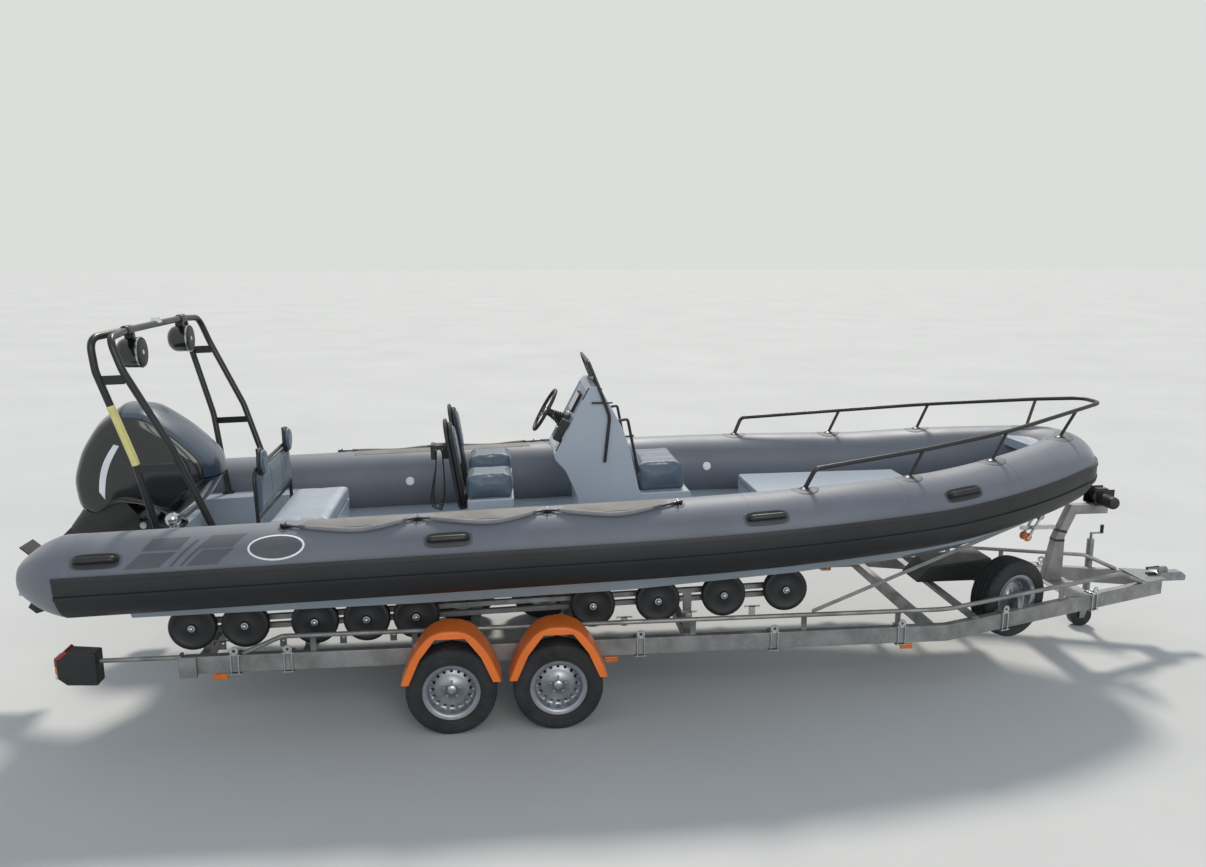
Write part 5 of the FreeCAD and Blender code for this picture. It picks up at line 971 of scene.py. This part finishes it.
# Forward of ARM_START the beams lean in to the coupling, by ARM_IN over ARM_LONG
ARM_START = 2.180
ARM_LONG, ARM_IN = 2.280, 0.785
bm = bmesh.new()
for x in HOOPS:
    bent = max(0.0, x - ARM_START)
    hoop = bmesh.new()
    for shift in (-0.026, 0.026):
        sweep(hoop, rounded_path([(shift, -0.038, 0.418), (shift, -0.038, 0.566), (shift, 0.038, 0.566),
                                  (shift, 0.038, 0.418)], 0.010, 3), 0.0052, 10)
    block(hoop, (-0.044, -0.046, 0.4195), (0.044, 0.046, 0.4265))
    block(hoop, (-0.044, -0.046, 0.5570), (0.044, 0.046, 0.5630))
    lathe(hoop, [(-0.0430, 0.0110), (-0.0430, 0.0300), (-0.0375, 0.0300), (-0.0375, 0.0110),
                 (-0.0430, 0.0110)], (0, 0, 0.590), steps=28)
    lean = Matrix.Rotation(math.atan2(ARM_IN, ARM_LONG) if bent else 0, 4, "Z")
    carry(hoop, moved((x, -0.880 + bent * ARM_IN / ARM_LONG, 0)) @ lean)
    join(bm, hoop)
mirrored(bm)
piece("beam_hoops", bm, bright_zinc, sharp=40)
bm = bmesh.new()
for x in (-3.080, -0.355, 1.865):
    block(bm, (x - 0.047, -0.917, 0.384), (x + 0.047, -0.899, 0.424))
mirrored(bm)
piece("side_markers", bm, amber_lens, rounding=0.004)

reds, ambers, clears = bmesh.new(), bmesh.new(), bmesh.new()
for side in (-1, 1):
    y = side * 0.880
    block(reds, (-4.156, y - 0.055, 0.530), (-4.132, y + 0.055, 0.596))
    slant = block(reds, (-4.138, y - 0.066, 0.596), (-4.060, y + 0.066, 0.624))
    bmesh.ops.rotate(reds, verts=slant, cent=(-4.110, 0, 0.613),
                     matrix=Matrix.Rotation(math.radians(-40), 3, "Y"))
    block(ambers, (-4.156, y - 0.055, 0.482), (-4.132, y + 0.055, 0.526))
    block(clears, (-4.156, y - 0.055, 0.444), (-4.132, y + 0.055, 0.478))
piece("tail_lenses", reds, red_lens, rounding=0.006)
piece("turn_lenses", ambers, amber_lens, rounding=0.006)
piece("reverse_lenses", clears, clear_lens, rounding=0.006)

# Mudguards: their folds and outer brims rounded as a vacuum-formed sheet has them
bm = closed_form("fenders")
folds = [edge for edge in bm.edges if len(edge.link_faces) == 2 and 0.2 < edge.calc_face_angle() < 1.2
         and abs((edge.verts[0].co - edge.verts[1].co).y) > 0.12]
soften(bm, folds, 0.085, 6)
BRIM = 1.172
brim = []
for edge in bm.edges:
    flats = sorted(edge.link_faces, key=lambda face: abs(face.normal.y))
    middle = (edge.verts[0].co + edge.verts[1].co) / 2
    axle = min((Vector((x, middle.y, WHEEL_RADIUS)) for _, x in AXLES), key=lambda at: abs(at.x - middle.x))
    if (len(flats) == 2 and min(abs(vert.co.y) for vert in edge.verts) > BRIM and abs(flats[0].normal.y) < 0.2
            and abs(flats[1].normal.y) > 0.9 and flats[0].normal.dot(middle - axle) > 0):
        brim.append(edge)
soften(bm, brim, 0.018, 4)
piece("mudguards", bm, orange_plastic, sharp=40, rounding=0.0015, replaces=["fenders"])

# CAD solids that take a finish and a rounding with no other change
COPIES = [
    # piece, CAD node, finish, rounding, angle over which an edge stays crisp, body
    ("engine_leg", "midsection", painted_casting, 0.004, 35, "engine"),
    ("transom_clamp", "clamp_bracket", painted_casting, 0.006, 35, ROOT),
    ("engine_swivel", "swivel_bracket", painted_casting, 0.003, 35, "tilt_bracket"),
    ("guide_rails", "upper_rails", hot_dip_zinc, 0, 40, ROOT),
    ("bench_frame", "bench_hoop", powder_coat, 0, 40, ROOT),
    ("lamp_arm_tubes", "lamp_arms", hot_dip_zinc, 0.002, 40, ROOT),
    ("throttle_housing", "throttle_box", black_abs, 0.008, 35, ROOT),
    ("wind_screen", "screen_pane", smoked_acrylic, 0.002, 35, ROOT),
    ("lamp_housings", "rear_lamps", black_abs, 0.010, 35, ROOT),
    ("beam_pair", "side_beams", hot_dip_zinc, 0.004, 35, ROOT),
    ("crossbars", "cross_tubes", hot_dip_zinc, 0.003, 35, ROOT),
    ("cradle_bars", "roller_cradles", hot_dip_zinc, 0.003, 35, ROOT),
    ("post", "winch_post", hot_dip_zinc, 0.008, 35, ROOT),
    ("gear_box", "storage_box", black_abs, 0.014, 35, ROOT),
    ("spare_bracket", "spare_carrier", hot_dip_zinc, 0.002, 35, ROOT),
    ("hitch", "coupling", dull_zinc, 0.003, 35, ROOT),
    ("prop_leg", "jockey_leg", dull_zinc, 0.002, 35, ROOT),
    ("caster_yoke", "jockey_fork", dull_zinc, 0.002, 35, "caster_fork"),
    ("locker_box", "bow_locker", gelcoat, 0.008, 35, ROOT),
    ("locker_cover", "bow_lid", gelcoat, 0.012, 35, "locker_lid"),
    ("stern_bench", "bench_base", gelcoat, 0.014, 35, ROOT),
    ("seat_plinths", "jockey_bases", gelcoat, 0.014, 35, ROOT),
    ("seat_back_shells", "jockey_backs", black_abs, 0.004, 35, ROOT),
    ("bow_step", "nose_deck", gelcoat, 0.004, 35, ROOT),
]
for name, node_name, material, rounding, sharp, body in COPIES:
    piece(name, closed_form(node_name), material, body, sharp=sharp, rounding=rounding, replaces=[node_name])

# Crank, bellows and lever grips in rubber and plastic
bm = bmesh.new()
folds = [(4.400, 0.0001), (4.400, 0.034)]
for fold in range(6):
    folds += [(4.408 + 0.013 * fold, 0.040), (4.4145 + 0.013 * fold, 0.033)]
lathe(bm, folds + [(4.486, 0.034), (4.486, 0.0001)], (0, 0, 0.542), (1, 0, 0), 28)
sweep(bm, rounded_path([(4.392, 0, 0.616), (4.450, 0, 0.619), (4.505, 0, 0.624)], 0.1), [0.013] * 9, 14)
pin(bm, (4.155, 0.306, 0.853), (4.155, 0.306, 0.925), 0.014, 0.016)
piece("hitch_grips", bm, moulded_rubber, sharp=40, rounding=0.002)
bm = bmesh.new()
for y in (-0.012, 0.012):
    lathe(bm, [(y, 0.046), (y, 0.052), (y * 0.5, 0.0525), (y * 0.5, 0.046)], (4.015, 0.308, 0.100), steps=32)
piece("caster_rings", bm, bright_zinc, "caster_wheel")

# Electric winch: ribbed motor, its end cap, and the wound drum between cheeks
WINCH = (3.880, 0, 1.265)
bm = bmesh.new()
ribs = [(-0.240, 0.0001), (-0.240, 0.034), (-0.236, 0.044), (-0.226, 0.050), (-0.206, 0.052)]
for rib in range(5):
    ribs += [(-0.204 + 0.018 * rib, 0.052), (-0.202 + 0.018 * rib, 0.047), (-0.196 + 0.018 * rib, 0.047),
             (-0.194 + 0.018 * rib, 0.052)]
lathe(bm, ribs + [(-0.100, 0.052), (-0.088, 0.052), (-0.086, 0.049), (-0.060, 0.049), (-0.010, 0.049)],
      WINCH, steps=40)
block(bm, (3.835, -0.072, 1.318), (3.925, -0.020, 1.352))
piece("winch_motor", bm, black_abs, sharp=40, rounding=0.002, replaces=["winch"])
bm = bmesh.new()
for y in (-0.080, 0.080):
    block(bm, (3.805, y - 0.004, 1.210), (3.975, y + 0.004, 1.345))
block(bm, (3.805, -0.085, 1.2095), (3.975, 0.085, 1.2180))
lathe(bm, [(-0.094, 0.050), (-0.094, 0.054), (-0.088, 0.054), (-0.088, 0.050)], WINCH, steps=40)
piece("winch_cheeks", bm, powder_coat, rounding=0.006)
bm = bmesh.new()
turns = [(-0.075, 0.0001), (-0.075, 0.030)]
for turn in range(18):
    turns += [(-0.0735 + 0.0085 * turn, 0.052), (-0.0695 + 0.0085 * turn, 0.056)]
lathe(bm, turns + [(0.0745, 0.030), (0.0745, 0.0001)], (3.900, 0, 1.285), steps=40)
piece("winch_rope", bm, braided_rope, sharp=60)

# Two rollers on rocking arms take the bow, with bands round the post below
BOW_ROLLERS = ((3.268, 0.940), (3.366, 1.122))
bm = bmesh.new()
for x, z in BOW_ROLLERS:
    lathe(bm, [(-0.035, 0.0001), (-0.035, 0.036), (-0.031, 0.0375), (-0.012, 0.030), (0.012, 0.030),
               (0.031, 0.0375), (0.035, 0.036), (0.035, 0.0001)], (x, 0, z), steps=32)
piece("bow_rollers", bm, polyurethane, sharp=40, replaces=["bow_stop"])
bm = bmesh.new()
block(bm, (3.216, -0.015, 1.000), (3.520, 0.015, 1.030))
for y in (-0.046, 0.046):
    for x, z in BOW_ROLLERS:
        pin(bm, (x, y - 0.003, z), (x, y + 0.003, z), 0.018)
    sweep(bm, [(x, y, z) for x, z in BOW_ROLLERS], 0.011, 12)
for x, z in BOW_ROLLERS:
    pin(bm, (x, -0.054, z), (x, 0.054, z), 0.008)
block(bm, (3.300, -0.050, 1.010), (3.326, 0.050, 1.026))
piece("roller_arms", bm, bright_zinc, sharp=40, rounding=0.002)
bm = bmesh.new()
for x, z, lean in ((3.5700, 0.985, 0.20), (3.5520, 0.905, 0.06)):
    band = bmesh.new()
    block(band, (-0.043, -0.0425, -0.011), (0.043, 0.0425, 0.011))
    carry(band, moved((x, 0, z)) @ Matrix.Rotation(lean, 4, "Y"))
    join(bm, band)
piece("post_bands", bm, moulded_rubber, rounding=0.002)


# Wheels

TREAD = [
    # place across the tyre, radius: bead, bulge, ribs and shoulder, then half the tread with its grooves
    (0.088, 0.196), (0.094, 0.200), (0.0945, 0.206), (0.0915, 0.210), (0.0975, 0.226), (0.0985, 0.229),
    (0.0975, 0.232), (0.0995, 0.246), (0.1000, 0.258), (0.0988, 0.272), (0.0992, 0.274), (0.0978, 0.277),
    (0.0945, 0.290), (0.0920, 0.297), (0.0860, 0.306), (0.0780, 0.3120), (0.0540, 0.3142), (0.0530, 0.3075),
    (0.0460, 0.3075), (0.0450, 0.3146), (0.0180, 0.3150), (0.0170, 0.3080), (0.0100, 0.3080),
    (0.0090, 0.3150)]


def road_wheel(name, node_name, centre, body, turn):
    """A tyre with a grooved tread on the pressed-steel wheel that the CAD gives."""
    place = moved(centre) @ turn
    bm = bmesh.new()
    lathe(bm, TREAD + [(-across, radius) for across, radius in reversed(TREAD)], steps=96)
    bmesh.ops.remove_doubles(bm, verts=bm.verts, dist=SEAM)
    blocks = []
    for face in bm.faces:
        middle = face.calc_center_median()
        radius = math.hypot(middle.x, middle.z)
        step = int(round(math.degrees(math.atan2(middle.z, middle.x)) / 3.75))
        if radius > 0.300 and 0.056 < abs(middle.y) < 0.09 and step % 3 == 0:
            blocks.append(face)
    bmesh.ops.inset_individual(bm, faces=blocks, thickness=0.0022)
    for face in blocks:
        middle = face.calc_center_median()
        inward = Vector((-middle.x, 0, -middle.z)).normalized() * 0.006
        for vert in face.verts:
            vert.co += inward
    piece(name + "_tyre", bm, tyre_rubber, body, place, sharp=28, replaces=[node_name])
    bm = merged(node_name)
    carry(bm, place.inverted())
    outside = [vert for vert in bm.verts if math.hypot(vert.co.x, vert.co.z) > 0.1975]
    bmesh.ops.delete(bm, geom=outside, context="VERTS")
    piece(name + "_rim", bm, wheel_enamel, body, place, sharp=30)
    bm = bmesh.new()
    lathe(bm, [(0.026, 0.0001), (0.052, 0.0001), (0.053, 0.012), (0.050, 0.024), (0.044, 0.0315),
               (0.026, 0.0335)], steps=32)
    for spoke in range(5):
        angle = math.radians(72 * spoke + 18)
        at = Vector((0.056 * math.cos(angle), 0, 0.056 * math.sin(angle)))
        pin(bm, at + Vector((0, 0.029, 0)), at + Vector((0, 0.045, 0)), 0.0105, 0.009, sides=6)
    piece(name + "_hub", bm, bright_zinc, body, place, sharp=30, rounding=0.001)
    bm = bmesh.new()
    lathe(bm, [(0.040, 0.1985), (0.078, 0.1990), (0.0900, 0.2010), (0.0935, 0.1985), (0.0925, 0.1930),
               (0.0840, 0.1885)], steps=64)
    piece(name + "_flange", bm, wheel_enamel, body, place)
    if body != ROOT:
        bm = bmesh.new()
        lathe(bm, [(-0.085, 0.0001), (-0.085, 0.130), (-0.080, 0.134), (-0.012, 0.134), (-0.006, 0.130),
                   (0.000, 0.090), (0.000, 0.0001)], steps=48)
        piece(name + "_drum", bm, painted_casting, body, place, sharp=30)


for end, x in AXLES:
    for word, side in (("left", 1), ("right", -1)):
        name = f"wheel_{end}_{word}"
        road_wheel(f"road_{name}", name, (x, side * TRACK_HALF, WHEEL_RADIUS), name,
                   turned(90 - 90 * side, "Z"))
road_wheel("spare", "spare_wheel", (2.880, -0.470, 0.600), ROOT, turned(180 + 18.9, "Z"))


# Upholstery

SEAM_REACH = 0.014


def stuffed(name, bm, material, place, voxel, cap, seams=(), replaces=()):
    """Blows a cut form up as cloth over foam: it crowns by `cap` at most, and its seams, given as
    places across and depths, stay drawn in."""
    bmesh.ops.recalc_face_normals(bm, faces=bm.faces)
    made = placed(name, bm)
    even = made.modifiers.new("even", "REMESH")
    even.mode = "VOXEL"
    even.voxel_size = voxel
    graph = bpy.context.evaluated_depsgraph_get()
    made.data = bpy.data.meshes.new_from_object(made.evaluated_get(graph))
    made.modifiers.clear()
    rest = [vert.co.copy() for vert in made.data.vertices]
    cloth = made.modifiers.new("cloth", "CLOTH")
    cloth.settings.use_pressure = True
    cloth.settings.uniform_pressure_force = 4.0
    cloth.settings.effector_weights.gravity = 0
    for step in range(1, 21):
        scene.frame_set(step)
    graph = bpy.context.evaluated_depsgraph_get()
    blown = bpy.data.meshes.new_from_object(made.evaluated_get(graph))
    for vert, before in zip(blown.vertices, rest):
        swell = vert.co - before
        if swell.length > cap:
            vert.co = before + swell * (cap / swell.length)
    made.modifiers.clear()
    made.data = blown
    scene.frame_set(1)
    for vert in made.data.vertices:
        for across, deep in seams:
            gap = abs(vert.co.y - across)
            if gap < SEAM_REACH:
                vert.co -= vert.normal * (deep * (1 - gap / SEAM_REACH) ** 2)
    made.data.transform(place)
    made.data.shade_smooth()
    made.data.materials.clear()
    made.data.materials.append(material)
    eased(made, 1)
    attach(made, ROOT)
    if replaces:
        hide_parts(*replaces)
    return made


def soft_block(low, high, radius, taper=None):
    """A block of foam with rounded edges; `taper` moves its top corners."""
    bm = bmesh.new()
    verts = block(bm, low, high)
    if taper:
        for vert in verts:
            if vert.co.z > (low[2] + high[2]) / 2:
                vert.co += Vector(taper(vert.co))
    soften(bm, bm.edges[:], radius, 3)
    return bm


PADS = [
    # piece, two corners, how its top moves, edge radius, finish, voxel, swell, seams, CAD node
    ("console_seat", (3.862, -0.292, 0.128), (4.206, 0.292, 0.332),
     lambda at: (-0.024 if at.x < 4.0 else -0.022, 0, 0), 0.022, slate_vinyl, 0.010, 0.012,
     ((-0.10, 0.006), (0.10, 0.006)), "console_cushion"),
    ("bench_seat", (1.112, -0.510, 0.006), (1.552, 0.510, 0.108), None, 0.020, pale_vinyl, 0.010, 0.012,
     ((-0.17, 0.007), (0.17, 0.007)), "bench_cushion"),
    ("bench_back_rest", (1.050, -0.542, 0.173), (1.090, 0.542, 0.480), None, 0.014, slate_vinyl, 0.009, 0.010,
     ((-0.18, 0.006), (0.18, 0.006)), "bench_back"),
]
for name, low, high, taper, radius, material, voxel, swell, seams, node_name in PADS:
    stuffed(name, soft_block(low, high, radius, taper), material, BOAT, voxel, swell, seams, [node_name])
for side in (1, -1):
    seat = soft_block((2.555, side * 0.35 - 0.157, 0.198), (2.878, side * 0.35 + 0.157, 0.362), 0.022)
    stuffed(f"jockey_seat_{'port' if side > 0 else 'starboard'}", seat, slate_vinyl, BOAT, 0.009, 0.010,
            replaces=["jockey_cushions"] if side > 0 else ())


def oval_block(wide, high, front, thick, bend):
    """An upright pad with round ends, facing X, its middle at the origin."""
    bm = bmesh.new()
    shape = moved((front - thick, 0, 0)) @ Matrix.Rotation(math.pi / 2, 4, "Y")
    bmesh.ops.create_circle(bm, cap_ends=True, segments=40, radius=wide / 2, matrix=shape)
    for vert in bm.verts:
        vert.co.z += math.copysign(high / 2 - wide / 2, vert.co.z)
    grown = bmesh.ops.extrude_face_region(bm, geom=bm.faces[:])["geom"]
    bmesh.ops.translate(bm, vec=(thick, 0, 0), verts=verts_in(grown))
    rims = [edge for edge in bm.edges if abs(edge.verts[0].co.x - edge.verts[1].co.x) < 1e-6]
    soften(bm, rims, bend, 3)
    return bm


for side, word in ((1, "port"), (-1, "starboard")):
    rest = BOAT @ moved((0, side * 0.430, 0.541))
    piece(f"headrest_shell_{word}", oval_block(0.190, 0.206, 1.106, 0.021, 0.006), black_abs, place=rest,
          replaces=["headrests"] if side > 0 else ())
    stuffed(f"headrest_pad_{word}", oval_block(0.168, 0.184, 1.128, 0.024, 0.008), slate_vinyl, rest, 0.006,
            0.005)
    back = BOAT @ moved((2.540, side * 0.350, 0.090)) @ turned(-7, "Y")
    stuffed(f"seat_back_pad_{word}", oval_block(0.246, 0.330, 0.008, 0.034, 0.012), slate_vinyl,
            back @ moved((0, 0, 0.480)), 0.007, 0.007)


# Floor and light

bm = bmesh.new()
bmesh.ops.create_grid(bm, x_segments=1, y_segments=1, size=150)
floor = placed("floor", bm)
# Matt studio floor paint.
floor.data.materials.append(finish("matt_floor_paint", "#bdbdba", "#b7b7b4", 3.0, 0.9, 0.05))

# The world lights the object softly; the camera and mirrors see a plain pale backdrop.
world = bpy.data.worlds.new("studio")
scene.world = world
world.use_nodes = True
tree = world.node_tree
sky = tree.nodes["Background"]
sky.inputs["Color"].default_value = linear("#d3dfee")
sky.inputs["Strength"].default_value = 0.75
backdrop = add(tree, "ShaderNodeBackground", {"Color": linear("#dcdedc"), "Strength": 1.0})
rays = add(tree, "ShaderNodeLightPath", {})
seen = add(tree, "ShaderNodeMath", {0: rays.outputs["Is Camera Ray"], 1: rays.outputs["Is Glossy Ray"]},
           operation="MAXIMUM")
seen = add(tree, "ShaderNodeMath", {0: seen.outputs[0], 1: rays.outputs["Is Transmission Ray"]},
           operation="MAXIMUM")
mixed = add(tree, "ShaderNodeMixShader", {0: seen.outputs[0], 1: sky.outputs[0], 2: backdrop.outputs[0]})
tree.links.new(mixed.outputs[0], tree.nodes["World Output"].inputs["Surface"])

# The sun stands behind the boat, as in the photograph; a wide soft one fills the near side.
LAMPS = [
    # name, strength, width in degrees, colour, the way that its light goes
    ("sun", 2.9, 9, (1.0, 0.95, 0.88), (-0.12, -0.62, -0.78)),
    ("fill", 0.95, 38, (1.0, 1.0, 1.0), (-0.19, 0.88, -0.43))]
for name, energy, wide, tint, way in LAMPS:
    lamp = bpy.data.objects.new(name, bpy.data.lights.new(name, "SUN"))
    lamp.data.energy = energy
    lamp.data.angle = math.radians(wide)
    lamp.data.color = tint
    lamp.rotation_euler = Vector(way).to_track_quat("-Z", "Y").to_euler()
    scene.collection.objects.link(lamp)
